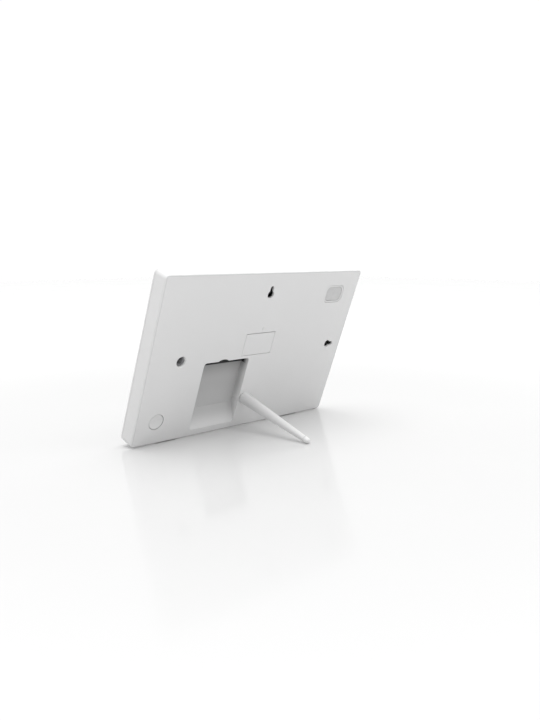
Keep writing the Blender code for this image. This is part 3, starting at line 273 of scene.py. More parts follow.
def rubber(name, colour, roughness=0.8, grain=0.5 * MM):
    """Soft elastomer: dull, slightly mottled, with lint-fine specks."""
    finish = Finish(name, Specular_IOR_Level=0.3)
    way = finish.place()
    mottle = finish.noise(way, 160.0, 5.0, 0.65)
    specks = finish.band(finish.cells(way, 1.0 / grain), 0.08, 0.16)
    tone = finish.blend(mottle, rgba(colour, 0.88), rgba(colour, 1.1))
    return finish.feed(Base_Color=tone, Roughness=roughness - 0.08 + mottle * 0.16,
                       Normal=finish.bump(specks + mottle, 0.02 * MM))


def brushed(name, colour, roughness, stretch=(40.0, 1800.0, 1800.0)):
    """Rolled or brushed metal: long fine scratches, and a cloudy passivated tone."""
    finish = Finish(name, Metallic=1.0)
    way = finish.place()
    scratches = finish.noise(finish.spread(way, stretch), 1.0, 4.0, 0.7)
    cloud = finish.noise(way, 90.0, 3.0)
    tone = finish.blend(cloud, rgba(colour, 0.85), rgba(colour, 1.08))
    return finish.feed(Base_Color=tone, Roughness=roughness - 0.1 + scratches * 0.14 + cloud * 0.08,
                       Normal=finish.bump(scratches, 0.006 * MM))


def turned_metal(name, colour, roughness, origin, direction):
    """Metal cut on a lathe: rings around an axis."""
    finish = Finish(name, Metallic=1.0)
    way = finish.place()
    grooves = finish.node("ShaderNodeTexNoise", {"noise_dimensions": "1D"},
                          {"W": finish.along(way, direction, origin), "Scale": 6000.0, "Detail": 3.0})
    stain = finish.noise(way, 260.0, 4.0, 0.6)
    tone = finish.blend(stain, rgba(colour, 0.8), rgba(colour, 1.1))
    return finish.feed(Base_Color=tone, Roughness=roughness - 0.08 + grooves * 0.12 + stain * 0.06,
                       Normal=finish.bump(grooves, 0.008 * MM))


def cover_glass(name, settings, casing_height):
    """Polished glass over a dark display, with a printed black border and faint finger marks."""
    finish = Finish(name, Specular_IOR_Level=0.6, Coat_Weight=0.6, Coat_Roughness=0.03)
    way = finish.place()
    middle = PANEL_FOOT + PANEL_UP * (casing_height / 2)
    across = abs(finish.along(way, ACROSS, middle))
    up = abs(finish.along(way, PANEL_UP, middle))
    soft = 0.15 * MM
    side, end = settings.picture_width / 2, settings.picture_height / 2
    inside = (1.0 - finish.band(across, side - soft, side)) * (1.0 - finish.band(up, end - soft, end))
    cells = finish.noise(way, 24.0, 2.0)
    picture = finish.blend(cells, rgba(settings.display_colour, 0.9), rgba(settings.display_colour, 1.1))
    tone = finish.blend(inside, rgba(settings.border_colour), picture)
    marks = finish.band(finish.noise(way, 22.0, 6.0, 0.7), 0.55, 0.75)
    return finish.feed(Base_Color=tone, Roughness=0.05 + marks * 0.07)


def circuit_board(name, colour):
    """Solder mask over copper tracks, with tinned vias."""
    finish = Finish(name, Specular_IOR_Level=0.6)
    way = finish.place()
    tracks = 1.0 - finish.band(finish.cells(way, 520.0, "DISTANCE_TO_EDGE"), 0.05, 0.09)
    vias = 1.0 - finish.band(finish.cells(way, 330.0), 0.10, 0.14)
    weave = finish.noise(finish.spread(way, (2200.0, 2200.0, 2200.0)), 1.0, 1.0)
    mask = finish.blend(tracks, rgba(colour), rgba(colour, 1.9))
    tone = finish.blend(vias, mask, (0.55, 0.53, 0.47, 1.0))
    return finish.feed(Base_Color=tone, Roughness=0.42 - vias * 0.15 + weave * 0.08,
                       Metallic=vias, Normal=finish.bump(tracks + weave * 0.2, 0.03 * MM))


def printed_film(name, colour):
    """Amber polyimide film with parallel copper lines."""
    finish = Finish(name, Coat_Weight=0.3)
    way = finish.place()
    lines = finish.node("ShaderNodeTexWave", {"bands_direction": "X", "wave_profile": "SIN"},
                        {"Vector": way, "Scale": 320.0, "Distortion": 0.0})
    haze = finish.noise(way, 120.0, 3.0)
    tone = finish.blend(finish.band(lines, 0.4, 0.6), rgba(colour, 0.75), rgba(colour, 1.35))
    return finish.feed(Base_Color=tone, Roughness=0.3 + haze * 0.15, Normal=finish.bump(lines, 0.01 * MM))


def chip_top(name, colour):
    """Moulded epoxy package: fine sand texture."""
    finish = Finish(name, Specular_IOR_Level=0.4)
    way = finish.place()
    sand = finish.noise(way, 5200.0, 2.0, 0.7)
    cloud = finish.noise(way, 240.0, 3.0)
    tone = finish.blend(cloud, rgba(colour, 0.8), rgba(colour, 1.4))
    return finish.feed(Base_Color=tone, Roughness=0.5 + sand * 0.15, Normal=finish.bump(sand, 0.01 * MM))


def optical(name, colour, roughness, dots):
    """Light guide or film: pale sheet with a grid of fine dots."""
    finish = Finish(name, Specular_IOR_Level=0.5, Coat_Weight=0.2)
    way = finish.place()
    grid = finish.band(finish.cells(way, dots), 0.25, 0.35)
    haze = finish.noise(way, 30.0, 3.0)
    tone = finish.blend(grid, rgba(colour, 0.93), rgba(colour))
    return finish.feed(Base_Color=tone, Roughness=roughness + haze * 0.1,
                       Normal=finish.bump(grid, 0.01 * MM))


# ---- mesh helpers ---------------------------------------------------------------------------------
def dress(material, *nodes):
    """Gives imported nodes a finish."""
    for name in nodes:
        materials = frame["nodes"][name].data.materials
        for index in range(len(materials)):
            materials[index] = material
        if len(materials) == 0:
            materials.append(material)


def extent(node):
    """A node's lowest and highest corners in the frame's own axes."""
    to_frame = upright(0.0, 0.0, 0.0).inverted()
    points = [to_frame @ vert.co for vert in frame["nodes"][node].data.vertices]
    low = Vector([min(point[axis] for point in points) for axis in range(3)])
    high = Vector([max(point[axis] for point in points) for axis in range(3)])
    return low, high


def new_piece(name, bm, materials, body, replaces=()):
    """A mesh object from a bmesh, riding on a body."""
    sharp = math.radians(34.0)
    bmesh.ops.recalc_face_normals(bm, faces=bm.faces)
    for face in bm.faces:
        face.smooth = True
    for edge in bm.edges:
        if len(edge.link_faces) == 2 and edge.calc_face_angle(0.0) > sharp:
            edge.smooth = False
    mesh = bpy.data.meshes.new(name)
    bm.to_mesh(mesh)
    bm.free()
    for material in materials:
        mesh.materials.append(material)
    piece = bpy.data.objects.new(name, mesh)
    bpy.context.scene.collection.objects.link(piece)
    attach(piece, body)
    if replaces:
        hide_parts(*replaces)
    return piece


def rings(bm, place, rows, around, material=0, closed=False):
    """A skin through rings of points; a row is a height and a radius, or a radius for each angle."""
    loops = []
    for height, radius in rows:
        loop = []
        for step in range(around):
            angle = TURN * step / around
            reach = radius(angle) if callable(radius) else radius
            point = Vector((reach * math.cos(angle), reach * math.sin(angle), height))
            loop.append(bm.verts.new(place @ point))
        loops.append(loop)
    pairs = list(zip(loops, loops[1:]))
    if closed:
        pairs.append((loops[-1], loops[0]))
    for low, high in pairs:
        for step in range(around):
            after = (step + 1) % around
            face = bm.faces.new((low[step], low[after], high[after], high[step]))
            face.material_index = material
    if not closed:
        for loop in (loops[0], loops[-1]):
            cap = bm.faces.new(loop)
            cap.material_index = material


def slab(bm, place, x, y, z, edge=0.0, material=0):
    """A box between pairs of coordinates, with its edges rounded off."""
    made = bmesh.ops.create_cube(bm, size=1.0)
    verts = made["verts"]
    centre = Vector(((x[0] + x[1]) / 2, (y[0] + y[1]) / 2, (z[0] + z[1]) / 2))
    for vert in verts:
        scaled = Vector((vert.co.x * (x[1] - x[0]), vert.co.y * (y[1] - y[0]), vert.co.z * (z[1] - z[0])))
        vert.co = place @ (centre + scaled)
    faces = {face for vert in verts for face in vert.link_faces}
    for face in faces:
        face.material_index = material
    if edge:
        edges = list({side for vert in verts for side in vert.link_edges})
        bmesh.ops.bevel(bm, geom=edges, offset=edge, segments=2, profile=0.5, affect="EDGES",
                        material=material)


def thread(crest, depth, pitch, height):
    """The radius of a right-hand thread at one height, as a function of the angle."""
    def radius(angle):
        phase = (height / pitch - angle / TURN) % 1.0
        return crest - depth * min(abs(2 * phase - 1) * 1.25, 1.0)
    return radius


def threaded_rows(crest, depth, pitch, low, high, run_out=0.0):
    """Rows up a thread, its depth fading in over a run-out at both ends."""
    steps = round((high - low) / pitch * 8)
    rows = []
    for step in range(steps + 1):
        height = low + (high - low) * step / steps
        near = min(height - low, high - height)
        fade = min(near / run_out, 1.0) if run_out else 1.0
        rows.append((height, thread(crest, depth * fade, pitch, height)))
    return rows


# ---- settings -------------------------------------------------------------------------------------
def colour_property(name, default, description):
    return FloatVectorProperty(name=name, description=description, default=default, size=3, min=0.0,
                               max=1.0, subtype="COLOR")


def length_property(name, default, description):
    return FloatProperty(name=name, description=description, default=default, min=0.0, unit="LENGTH",
                         subtype="DISTANCE", precision=5)


class CasingSettings(bpy.types.PropertyGroup):
    colour: colour_property("Casing", (0.82, 0.82, 0.82), "Colour of the casing, door and keys")
    pad_colour: colour_property("Key pad", (0.66, 0.66, 0.66), "Colour of the soft pad in the large key")
    roughness: FloatProperty(name="Roughness", description="How dull the casing is", default=0.5,
                             min=0.0, max=1.0, subtype="FACTOR")
    grain: length_property("Grain", 0.35 * MM, "Size of the moulded grain")
    width: length_property("Width", 260.0 * MM, "Width of the casing")
    height: length_property("Height", 170.5 * MM, "Height of the casing along its back")
    # painted shade: how dark the lines drawn in the colour are, round the back's edge, round the power disc
    # and along the foot
    edge_round: length_property("Edge rounding", 1.4 * MM, "Radius of the edge round the back")
    painted_shade_lines: FloatProperty(name="Edge line", description="Strength of the witness line round the back",
                             default=0.12, min=0.0, max=1.0, subtype="FACTOR")
    # painted shade: how much the plug bay's colour is darkened
    bay_painted_shade: FloatProperty(name="Bay shade", description="How much darker the plug bay's plastic is",
                             default=0.4, min=0.0, max=1.0, subtype="FACTOR")


class LegSettings(bpy.types.PropertyGroup):
    colour: colour_property("Leg", (0.74, 0.74, 0.74), "Colour of the leg")
    tip_colour: colour_property("Tip", (0.80, 0.80, 0.80), "Colour of the soft tip")
    pitch: length_property("Pitch", 1.0 * MM, "Advance of the thread in one turn")
    thread_depth: length_property("Thread depth", 0.45 * MM, "Depth of the thread on the stud")
    knurls: IntProperty(name="Knurls", description="Ridges around each insert", default=24, min=8, max=60)


class DisplaySettings(bpy.types.PropertyGroup):
    picture_width: length_property("Picture width", 216.6 * MM, "Width of the lit area")
    picture_height: length_property("Picture height", 135.4 * MM, "Height of the lit area")
    display_colour: colour_property("Display", (0.014, 0.015, 0.018), "Colour of the switched-off display")
    border_colour: colour_property("Border", (0.004, 0.004, 0.004), "Colour of the printed border")


class StageSettings(bpy.types.PropertyGroup):
    azimuth: FloatProperty(name="Azimuth", description="Direction the camera looks from",
                           default=math.radians(135.15), subtype="ANGLE")
    elevation: FloatProperty(name="Elevation", description="Height angle of the camera",
                             default=math.radians(8.18), subtype="ANGLE")
    distance: length_property("Distance", 797.7 * MM, "Camera to the point it looks at")
    lens: FloatProperty(name="Lens", description="Focal length in millimetres", default=37.2, min=1.0)
    # painted shadow: the floor's colour near the frame is darker
    floor_shadow_colour: colour_property("Floor", (0.67, 0.67, 0.67), "Colour of the floor near the frame")
    far_floor_colour: colour_property("Far floor", (0.97, 0.97, 0.97), "Colour of the floor farther away")
    overhead_power: FloatProperty(name="Overhead light", description="Power of the softbox above, in watts",
                                  default=40, min=0.0)
    rear_power: FloatProperty(name="Rear light", description="Power of the lamp above the back, in watts",
                              default=4, min=0.0)
    sky_bright: FloatProperty(name="Bright sky", description="Brightness of the studio behind the frame",
                              default=1.02, min=0.0)
    sky_dim: FloatProperty(name="Dim sky", description="Brightness of the studio on the camera's side",
                           default=0.62, min=0.0)


# ---- pieces ---------------------------------------------------------------------------------------
class PHOTOFRAME_OT_casing(bpy.types.Operator):
    """Finish the rear cover, the front bezel and the small door"""
    bl_idname = "photo_frame.casing"
    bl_label = "Casing"

    def execute(self, context):
        casing = context.scene.photo_frame_casing
        dress(rear_shell("rear_cover_grain_painted_shade", casing), "rear_cover")
        dress(moulded("white_casing_grain", casing.colour, casing.roughness, casing.grain),
              "front_bezel", "battery_door")
        return {"FINISHED"}


class PHOTOFRAME_OT_keys(bpy.types.Operator):
    """Finish the two keys, the soft pad and the plungers behind them"""
    bl_idname = "photo_frame.keys"
    bl_label = "Keys"

    def execute(self, context):
        casing = context.scene.photo_frame_casing
        dress(moulded("white_key_grain", casing.colour, casing.roughness - 0.06, casing.grain),
              "menu_key", "power_button")
        dress(rubber("key_pad_rubber", casing.pad_colour, 0.7), "menu_key_pad")
        dress(rubber("plunger_rubber", (0.16, 0.16, 0.16)), "menu_plunger", "power_plunger")
        return {"FINISHED"}


class PHOTOFRAME_OT_leg(bpy.types.Operator):
    """Finish the leg and its tip, and cut the thread on its stud"""
    bl_idname = "photo_frame.leg"
    bl_label = "Leg"

    def execute(self, context):
        leg = context.scene.photo_frame_leg
        dress(moulded("white_leg_satin", leg.colour, 0.34, 0.5 * MM, 0.006 * MM, 0.012), "stand_leg")
        dress(moulded("leg_tip_soft", leg.tip_colour, 0.42, 0.3 * MM, 0.008 * MM, 0.015), "stand_tip")
        dress(rubber("washer_rubber", (0.03, 0.03, 0.03)), "stand_washer")
        place = facing(LEG_ROOT, ACROSS, LEG_OUT)
        steel = turned_metal("stud_steel", (0.62, 0.63, 0.65), 0.3, LEG_ROOT, LEG_OUT)
        low, high = self.reach_of("stand_stud")
        chamfer = 0.7 * MM
        radius = 3.0 * MM
        rows = [(low, radius - chamfer)]
        rows += threaded_rows(radius, leg.thread_depth, leg.pitch, low + chamfer / 2, high - chamfer,
                              run_out=chamfer)
        rows += [(high, radius - chamfer / 2)]
        bm = bmesh.new()
        rings(bm, place, rows, around=36)
        new_piece("stand_stud_thread", bm, [steel], "stand_leg", replaces=["stand_stud"])
        return {"FINISHED"}

    def reach_of(self, node):
        """How far a node reaches along the leg, from the leg's root."""
        reaches = [(vert.co - LEG_ROOT).dot(LEG_OUT) for vert in frame["nodes"][node].data.vertices]
        return min(reaches), max(reaches)


class PHOTOFRAME_OT_inserts(bpy.types.Operator):
    """Replace the plain inserts with threaded, knurled ones"""
    bl_idname = "photo_frame.inserts"
    bl_label = "Leg sockets"

    def execute(self, context):
        leg = context.scene.photo_frame_leg
        rise = math.asin(max(-1.0, min(1.0, LEG_OUT.dot(PANEL_UP))))
        portrait_out = PANEL_OUT * math.cos(rise) - ACROSS * math.sin(rise)
        for way, out in (("landscape", LEG_OUT), ("portrait", portrait_out)):
            self.make_insert(f"stand_insert_{way}", out, leg)
        return {"FINISHED"}

    def make_insert(self, node, out, leg):
        mesh = frame["nodes"][node].data
        middle = sum((vert.co for vert in mesh.vertices), Vector()) / len(mesh.vertices)
        reaches = [(vert.co - middle).dot(out) for vert in mesh.vertices]
        radii = [((vert.co - middle) - out * (vert.co - middle).dot(out)).length for vert in mesh.vertices]
        low, high, outer, bore = min(reaches), max(reaches), max(radii), min(radii)
        side = ACROSS if abs(out.dot(ACROSS)) < 0.5 else PANEL_UP
        side = (side - out * side.dot(out)).normalized()
        place = facing(middle, side, out)
        steel = turned_metal(f"{node}_steel", (0.30, 0.30, 0.31), 0.4, middle, out)
        edge = 0.4 * MM
        depth = 0.35 * MM

        def knurl(angle):
            return outer - 0.18 * MM * (0.5 + 0.5 * math.cos(angle * leg.knurls))

        waist = (low + high) / 2
        rows = [(low, outer - edge), (low + edge, knurl), (waist - edge, knurl), (waist, outer - 2 * edge),
                (waist + edge, knurl), (high - edge, knurl), (high, outer - edge), (high, bore + edge)]
        inner = threaded_rows(bore, -depth, leg.pitch, low + edge, high - edge, run_out=edge)
        rows += [(height, radius) for height, radius in reversed(inner)]
        rows += [(low, bore + edge)]
        bm = bmesh.new()
        rings(bm, place, rows, around=72, closed=True)
        new_piece(f"{node}_threaded", bm, [steel], "frame", replaces=[node])


class PHOTOFRAME_OT_keyholes(bpy.types.Operator):
    """Finish the two steel keyhole plates"""
    bl_idname = "photo_frame.keyholes"
    bl_label = "Keyhole plates"

    def execute(self, context):
        dress(brushed("keyhole_plate_steel", (0.30, 0.31, 0.32), 0.42),
              "keyhole_plate_landscape", "keyhole_plate_portrait")
        return {"FINISHED"}


class PHOTOFRAME_OT_display(bpy.types.Operator):
    """Finish the glass and the display stack, and set the lamps on their strip"""
    bl_idname = "photo_frame.display"
    bl_label = "Display"

    def execute(self, context):
        display = context.scene.photo_frame_display
        casing = context.scene.photo_frame_casing
        dress(cover_glass("touch_glass_dark", display, casing.height), "touch_glass")
        dress(rubber("tape_foam", (0.02, 0.02, 0.02), 0.75, 0.4 * MM), "glass_tape")
        dress(optical("panel_polariser", (0.03, 0.03, 0.035), 0.14, 4000.0), "display_panel")
        dress(optical("diffuser_milk", (0.85, 0.85, 0.85), 0.55, 2500.0), "diffuser_sheet")
        dress(optical("guide_acrylic", (0.86, 0.89, 0.89), 0.1, 900.0), "light_guide")
        dress(circuit_board("lamp_strip_board", (0.72, 0.72, 0.70)), "led_strip")
        dress(brushed("tray_steel_rolled", (0.55, 0.56, 0.57), 0.38), "backlight_tray")
        screws = [f"tray_screw_{index}" for index in range(1, 5)]
        dress(brushed("screw_zinc", (0.62, 0.63, 0.65), 0.32, (900.0, 900.0, 900.0)), *screws)
        self.make_lamps()
        return {"FINISHED"}

    def make_lamps(self):
        """A row of lamp packages along the top of the strip, facing the light guide."""
        low, high = extent("led_strip")
        middle = (low.y + high.y) / 2
        body = moulded("lamp_body_white", (0.85, 0.84, 0.80), 0.5, 0.2 * MM)
        glow = rubber("lamp_phosphor", (0.80, 0.62, 0.12), 0.6, 0.1 * MM)
        bm = bmesh.new()
        count = 30
        for index in range(count):
            x = (index + 0.5 - count / 2) * (high.x - low.x - 10 * MM) / count
            place = upright(x, middle, high.z)
            slab(bm, place, (-1.4 * MM, 1.4 * MM), (-0.34 * MM, 0.34 * MM), (0.01 * MM, 0.2 * MM),
                 edge=0.04 * MM)
            slab(bm, place, (-1.0 * MM, 1.0 * MM), (-0.22 * MM, 0.22 * MM), (0.19 * MM, 0.23 * MM),
                 edge=0.01 * MM, material=1)
        new_piece("backlight_lamps", bm, [body, glow], "frame")


# the material slots of the small components on the board
EPOXY, TIN, CERAMIC = range(3)


class PHOTOFRAME_OT_electronics(bpy.types.Operator):
    """Finish the boards and chips, and place the small components on the main board"""
    bl_idname = "photo_frame.electronics"
    bl_label = "Electronics"

    def execute(self, context):
        dress(circuit_board("solder_mask_green", (0.015, 0.16, 0.075)),
              "main_board", "menu_switch_board", "power_switch_board")
        dress(brushed("shield_tin", (0.70, 0.70, 0.69), 0.34), "processor_shield", "wifi_module")
        dress(chip_top("memory_epoxy", (0.02, 0.02, 0.02)), "memory_chip")
        dress(printed_film("flex_polyimide", (0.45, 0.20, 0.05)), "display_flex")
        screws = [f"board_screw_{index}" for index in range(1, 4)]
        dress(brushed("board_screw_zinc", (0.62, 0.63, 0.65), 0.32, (900.0, 900.0, 900.0)), *screws)
        dress(chip_top("switch_nylon", (0.03, 0.03, 0.03)), "menu_switch", "power_switch")
        self.make_components()
        return {"FINISHED"}

    def make_components(self):
        """Chips with leads, coils and capacitors on the face of the board."""
        low, high = extent("main_board")
        face = high.y + 0.01 * MM
        epoxy = chip_top("component_epoxy", (0.025, 0.025, 0.027))
        tin = brushed("component_tin", (0.72, 0.72, 0.70), 0.35, (900.0, 900.0, 900.0))
        ceramic = rubber("capacitor_ceramic", (0.42, 0.28, 0.16), 0.5, 0.2 * MM)
        bm = bmesh.new()
        for x, z, half in ((66.5, 8.5, 2.6), (56.0, 39.0, 2.2), (73.0, 34.5, 2.4)):
            self.add_chip(bm, upright(x * MM, face, low.z + z * MM), half * MM)
        for x, z in ((73.2, 5.2), (62.0, 12.5)):
            self.add_coil(bm, upright(x * MM, face, low.z + z * MM))
        spots = [(43.6, 19.5 + 2.1 * step) for step in range(7)]
        spots += [(47.5 + 2.3 * step, 15.0) for step in range(8)]
        spots += [(69.2 + 2.3 * step, 15.2) for step in range(5)]
        for x, z in spots:
            self.add_capacitor(bm, upright(x * MM, face, low.z + z * MM))
        new_piece("board_components", bm, [epoxy, tin, ceramic], "frame")

    def add_chip(self, bm, place, half):
        """A square package with six leads along each of two sides."""
        slab(bm, place, (-half, half), (0.15 * MM, 0.95 * MM), (-half, half), 0.1 * MM, EPOXY)
        for side in (-1, 1):
            lead = sorted((side * half, side * (half + 0.7 * MM)))
            for pin in range(6):
                middle = (pin - 2.5) * half / 3.2
                slab(bm, place, lead, (0.0, 0.35 * MM), (middle - 0.12 * MM, middle + 0.12 * MM),
                     0.03 * MM, TIN)

    def add_coil(self, bm, place):
        """A round coil in a can with a dished top."""
        profile = [(0.0, 1.9 * MM), (0.2 * MM, 2.1 * MM), (1.7 * MM, 2.1 * MM), (2.0 * MM, 1.8 * MM),
                   (2.0 * MM, 1.0 * MM), (1.8 * MM, 0.8 * MM)]
        rings(bm, place @ Matrix.Rotation(-math.pi / 2, 4, "X"), profile, around=24, material=EPOXY)

    def add_capacitor(self, bm, place):
        """A ceramic block with a tinned cap on each end."""
        slab(bm, place, (-0.45 * MM, 0.45 * MM), (0.0, 0.8 * MM), (-0.5 * MM, 0.5 * MM), 0.06 * MM, CERAMIC)
        for side in (-1, 1):
            end = sorted((side * 0.5 * MM, side * 0.8 * MM))
            slab(bm, place, (-0.48 * MM, 0.48 * MM), (0.0, 0.83 * MM), end, 0.05 * MM, TIN)


class PHOTOFRAME_OT_ports(bpy.types.Operator):
    """Finish the sockets in the plug bay and fit their pins and contacts"""
    bl_idname = "photo_frame.ports"
    bl_label = "Ports"

    def execute(self, context):
        dress(chip_top("jack_nylon", (0.03, 0.03, 0.03)), "dc_jack")
        dress(brushed("socket_shell_tin", (0.70, 0.70, 0.69), 0.3), "usb_socket", "card_socket")
        tin = brushed("port_pin_nickel", (0.74, 0.73, 0.70), 0.25, (900.0, 900.0, 900.0))
        gold = turned_metal("contact_gold", (0.83, 0.62, 0.26), 0.25, PANEL_FOOT, PANEL_UP)
        nylon = chip_top("contact_carrier", (0.035, 0.035, 0.035))
        self.make_jack_pin(tin)
        self.make_tongue("usb_socket", "usb_contacts", nylon, gold, 5, 0.85 * MM, 0.45 * MM)
        self.make_tongue("card_socket", "card_contacts", nylon, gold, 9, 1.1 * MM, 0.55 * MM)
        return {"FINISHED"}

    def make_jack_pin(self, metal):
        low, high = extent("dc_jack")
        place = upright((low.x + high.x) / 2, (low.y + high.y) / 2, low.z + 0.6 * MM)
        radius = 1.0 * MM
        rows = [(0.0, 0.35 * MM), (0.05 * MM, 0.7 * MM), (0.3 * MM, radius), (5.0 * MM, radius),
                (5.2 * MM, 1.3 * MM), (7.2 * MM, 1.3 * MM)]
        bm = bmesh.new()
        rings(bm, place, rows, around=24)
        new_piece("jack_pin_sleeve", bm, [metal], "frame")

    def make_tongue(self, node, name, carrier, metal, count, margin, thickness):
        """A carrier inside a socket's shell, with a row of contacts on it."""
        low, high = extent(node)
        middle = (low.y + high.y) / 2
        place = upright(0.0, 0.0, 0.0)
        bm = bmesh.new()
        face = middle + thickness / 2
        slab(bm, place, (low.x + margin, high.x - margin), (middle - thickness / 2, face),
             (low.z + 0.8 * MM, high.z - 1.2 * MM), edge=0.08 * MM)
        span = (high.x - low.x - 2 * margin) / count
        for index in range(count):
            x = low.x + margin + (index + 0.5) * span
            slab(bm, place, (x - span * 0.28, x + span * 0.28), (face, face + 0.12 * MM),
                 (low.z + 1.1 * MM, high.z - 1.6 * MM), edge=0.03 * MM, material=1)
        new_piece(name, bm, [carrier, metal], "frame")


class PHOTOFRAME_OT_speaker(bpy.types.Operator):
    """Finish the speaker box and fit its cone and surround"""
    bl_idname = "photo_frame.speaker"
    bl_label = "Speaker"

    def execute(self, context):
        dress(chip_top("speaker_box_black", (0.03, 0.03, 0.03)), "speaker")
        paper = rubber("cone_paper", (0.06, 0.06, 0.065), 0.85, 0.3 * MM)
        shiny = rubber("surround_rubber", (0.02, 0.02, 0.02), 0.5, 0.4 * MM)
        low, high = extent("speaker")
        place = on_back((low.x + high.x) / 2, (low.z + high.z) / 2, high.y)
        surround = [(-0.55 * MM, 6.2 * MM), (-0.1 * MM, 6.2 * MM), (0.0, 5.8 * MM),
                    (-0.05 * MM, 5.2 * MM), (-0.35 * MM, 5.0 * MM), (-0.55 * MM, 5.0 * MM)]
        cone = [(-0.5 * MM, 4.9 * MM), (-0.3 * MM, 4.9 * MM), (-1.0 * MM, 2.4 * MM),
                (-0.8 * MM, 1.8 * MM), (-0.55 * MM, 0.9 * MM), (-0.5 * MM, 0.2 * MM)]
        bm = bmesh.new()
        rings(bm, place, surround, around=40, material=1, closed=True)
        rings(bm, place, cone, around=40)
        new_piece("speaker_cone", bm, [paper, shiny], "frame")
        return {"FINISHED"}


class PHOTOFRAME_OT_cell(bpy.types.Operator):
    """Finish the contacts and the hinge pin, and make the crimped coin cell"""
    bl_idname = "photo_frame.cell"
    bl_label = "Coin cell"

    def execute(self, context):
        spring = brushed("contact_spring_steel", (0.66, 0.65, 0.60), 0.28)
        dress(spring, "cell_base_contact", "cell_side_contact")
        dress(brushed("hinge_pin_steel", (0.62, 0.63, 0.65), 0.3), "door_hinge_pin")
        low, high = extent("coin_cell")
        place = on_back((low.x + high.x) / 2, (low.z + high.z) / 2, low.y)
        radius, height = (high.x - low.x) / 2, high.y - low.y
        steel = brushed("cell_can_steel", (0.68, 0.68, 0.66), 0.22, (500.0, 500.0, 500.0))
        seal = rubber("cell_seal", (0.05, 0.05, 0.05), 0.6, 0.2 * MM)
        top = height - 0.08 * MM
        base = [(0.0, radius - 1.3 * MM), (0.15 * MM, radius - 1.0 * MM), (0.5 * MM, radius - 0.9 * MM)]
        gasket = [(0.35 * MM, radius - 0.95 * MM), (0.3 * MM, radius - 0.6 * MM),
                  (0.5 * MM, radius - 0.55 * MM)]
        can = [(0.45 * MM, radius - 0.6 * MM), (0.38 * MM, radius - 0.3 * MM), (0.55 * MM, radius),
               (top - 0.35 * MM, radius), (top - 0.08 * MM, radius - 0.1 * MM), (top, radius - 0.35 * MM),
               (top, radius - 1.1 * MM), (top - 0.06 * MM, radius - 1.25 * MM)]
        bm = bmesh.new()
        rings(bm, place, base, around=64)
        rings(bm, place, gasket, around=64, material=1)
        rings(bm, place, can, around=64)
        # a raised plus sign on the can
        long, short = 1.6 * MM, 0.3 * MM
        for wide, tall in ((long, short), (short, long)):
            slab(bm, place, (-wide, wide), (-tall, tall), (top - 0.1 * MM, height), edge=0.03 * MM)
        new_piece("coin_cell_crimped", bm, [steel, seal], "frame", replaces=["coin_cell"])
        return {"FINISHED"}


class PHOTOFRAME_OT_feet(bpy.types.Operator):
    """Finish the two wedge feet"""
    bl_idname = "photo_frame.feet"
    bl_label = "Feet"

    def execute(self, context):
        dress(rubber("foot_rubber", (0.16, 0.16, 0.16), 0.85, 0.6 * MM), "foot_left", "foot_right")
        return {"FINISHED"}


# ---- stage ----------------------------------------------------------------------------------------
AIM_ACROSS = -0.194     # where the camera looks, as shares of the casing's width
AIM_UP = 0.247
FLOOR_HALF = 4.0
# painted shadow: the darker floor round the frame fades into the pale far floor between these distances
FLOOR_NEAR = 0.25       # the floor turns from its near colour to its far one between these distances
FLOOR_FAR = 1.2


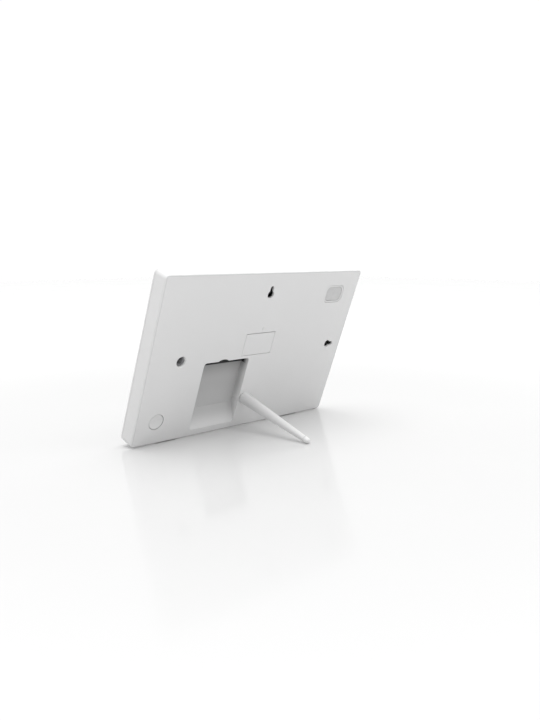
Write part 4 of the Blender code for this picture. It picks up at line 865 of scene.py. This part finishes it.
class PHOTOFRAME_OT_stage(bpy.types.Operator):
    """Set the camera, the pale floor and the soft studio light"""
    bl_idname = "photo_frame.stage"
    bl_label = "Stage"

    def execute(self, context):
        stage = context.scene.photo_frame_stage
        context.scene.view_settings.view_transform = "Standard"
        self.make_camera(context, stage)
        self.make_floor(stage)
        self.make_sky(context, stage)
        self.make_light(context, "light_above", Vector((0.2, 0.1, 2.2)), 2.4, stage.overhead_power)
        self.make_light(context, "light_behind", Vector((-0.5, 1.3, 1.9)), 0.7, stage.rear_power)
        return {"FINISHED"}

    def make_camera(self, context, stage):
        width = CAD_BOX[1][0] - CAD_BOX[0][0]
        out = Vector((math.sin(stage.azimuth) * math.cos(stage.elevation),
                      -math.cos(stage.azimuth) * math.cos(stage.elevation), math.sin(stage.elevation)))
        aim = Vector((AIM_ACROSS * width, PANEL_FOOT.y, AIM_UP * width + PANEL_FOOT.z))
        data = bpy.data.cameras.new("camera")
        data.lens = stage.lens
        data.sensor_width = 36.0
        camera = bpy.data.objects.new("camera", data)
        camera.location = aim + out * stage.distance
        camera.rotation_euler = out.to_track_quat("Z", "Y").to_euler()
        context.scene.collection.objects.link(camera)
        context.scene.camera = camera

    def make_floor(self, stage):
        finish = Finish("floor_pale_painted_shadow", Specular_IOR_Level=0.25)
        way = finish.place()
        cloud = finish.noise(way, 3.0, 3.0)
        reach = finish.node("ShaderNodeVectorMath", {"operation": "LENGTH"}, {0: way}, output="Value")
        # painted shadow round the frame: the floor is darker near the middle and pales with distance
        far = finish.band(reach, FLOOR_NEAR, FLOOR_FAR)
        tone = finish.blend(cloud, rgba(stage.floor_shadow_colour, 0.995), rgba(stage.floor_shadow_colour, 1.005))
        tone = finish.blend(far, tone, rgba(stage.far_floor_colour))
        material = finish.feed(Base_Color=tone, Roughness=0.1 + cloud * 0.04)
        mesh = bpy.data.meshes.new("floor")
        half = FLOOR_HALF
        corners = [(-half, -half, 0.0), (half, -half, 0.0), (half, half, 0.0), (-half, half, 0.0)]
        mesh.from_pydata(corners, [], [(0, 1, 2, 3)])
        mesh.materials.append(material)
        floor = bpy.data.objects.new("floor", mesh)
        bpy.context.scene.collection.objects.link(floor)

    def make_sky(self, context, stage):
        """A white studio, brighter on the far side of the frame than on the side of its leg."""
        world = bpy.data.worlds.new("studio")
        world.use_nodes = True
        tree = world.node_tree
        way = tree.nodes.new("ShaderNodeTexCoord")
        far = tree.nodes.new("ShaderNodeVectorMath")
        far.operation = "DOT_PRODUCT"
        far.inputs[1].default_value = (-0.707, -0.707, 0.0)
        level = tree.nodes.new("ShaderNodeMapRange")
        level.interpolation_type = "SMOOTHSTEP"
        for socket, value in (("From Min", -0.35), ("From Max", 0.6), ("To Min", stage.sky_dim),
                              ("To Max", stage.sky_bright)):
            level.inputs[socket].default_value = value
        background = tree.nodes["Background"]
        background.inputs["Color"].default_value = (1.0, 1.0, 1.0, 1.0)
        tree.links.new(way.outputs["Generated"], far.inputs[0])
        tree.links.new(far.outputs["Value"], level.inputs["Value"])
        tree.links.new(level.outputs["Result"], background.inputs["Strength"])
        context.scene.world = world

    def make_light(self, context, name, spot, size, power):
        data = bpy.data.lights.new(name, "AREA")
        data.energy = power
        data.size = size
        light = bpy.data.objects.new(name, data)
        light.location = spot
        light.rotation_euler = spot.to_track_quat("Z", "Y").to_euler()
        context.scene.collection.objects.link(light)


PIECE_OPERATORS = (
    PHOTOFRAME_OT_casing,
    PHOTOFRAME_OT_keys,
    PHOTOFRAME_OT_leg,
    PHOTOFRAME_OT_inserts,
    PHOTOFRAME_OT_keyholes,
    PHOTOFRAME_OT_display,
    PHOTOFRAME_OT_electronics,
    PHOTOFRAME_OT_ports,
    PHOTOFRAME_OT_speaker,
    PHOTOFRAME_OT_cell,
    PHOTOFRAME_OT_feet,
    PHOTOFRAME_OT_stage,
)
SETTINGS = {
    "photo_frame_casing": CasingSettings,
    "photo_frame_leg": LegSettings,
    "photo_frame_display": DisplaySettings,
    "photo_frame_stage": StageSettings,
}


class PHOTOFRAME_PT_panel(bpy.types.Panel):
    """Lists the frame's settings and the operators that make its pieces"""
    bl_idname = "PHOTOFRAME_PT_panel"
    bl_label = "Photo Frame"
    bl_space_type = "VIEW_3D"
    bl_region_type = "UI"
    bl_category = "Photo Frame"

    def draw(self, context):
        for group in SETTINGS:
            box = self.layout.box()
            settings = getattr(context.scene, group)
            for name in settings.bl_rna.properties.keys():
                if name not in {"rna_type", "name"}:
                    box.prop(settings, name)
        for operator in PIECE_OPERATORS:
            self.layout.operator(operator.bl_idname)


def register():
    for kind in (*SETTINGS.values(), *PIECE_OPERATORS, PHOTOFRAME_PT_panel):
        bpy.utils.register_class(kind)
    for group, kind in SETTINGS.items():
        setattr(bpy.types.Scene, group, PointerProperty(type=kind))


def unregister():
    for group in SETTINGS:
        delattr(bpy.types.Scene, group)
    for kind in (PHOTOFRAME_PT_panel, *reversed(PIECE_OPERATORS), *reversed(SETTINGS.values())):
        bpy.utils.unregister_class(kind)


def main():
    register()
    for operator in PIECE_OPERATORS:
        family, name = operator.bl_idname.split(".")
        getattr(getattr(bpy.ops, family), name)()


if __name__ == "__main__":
    main()
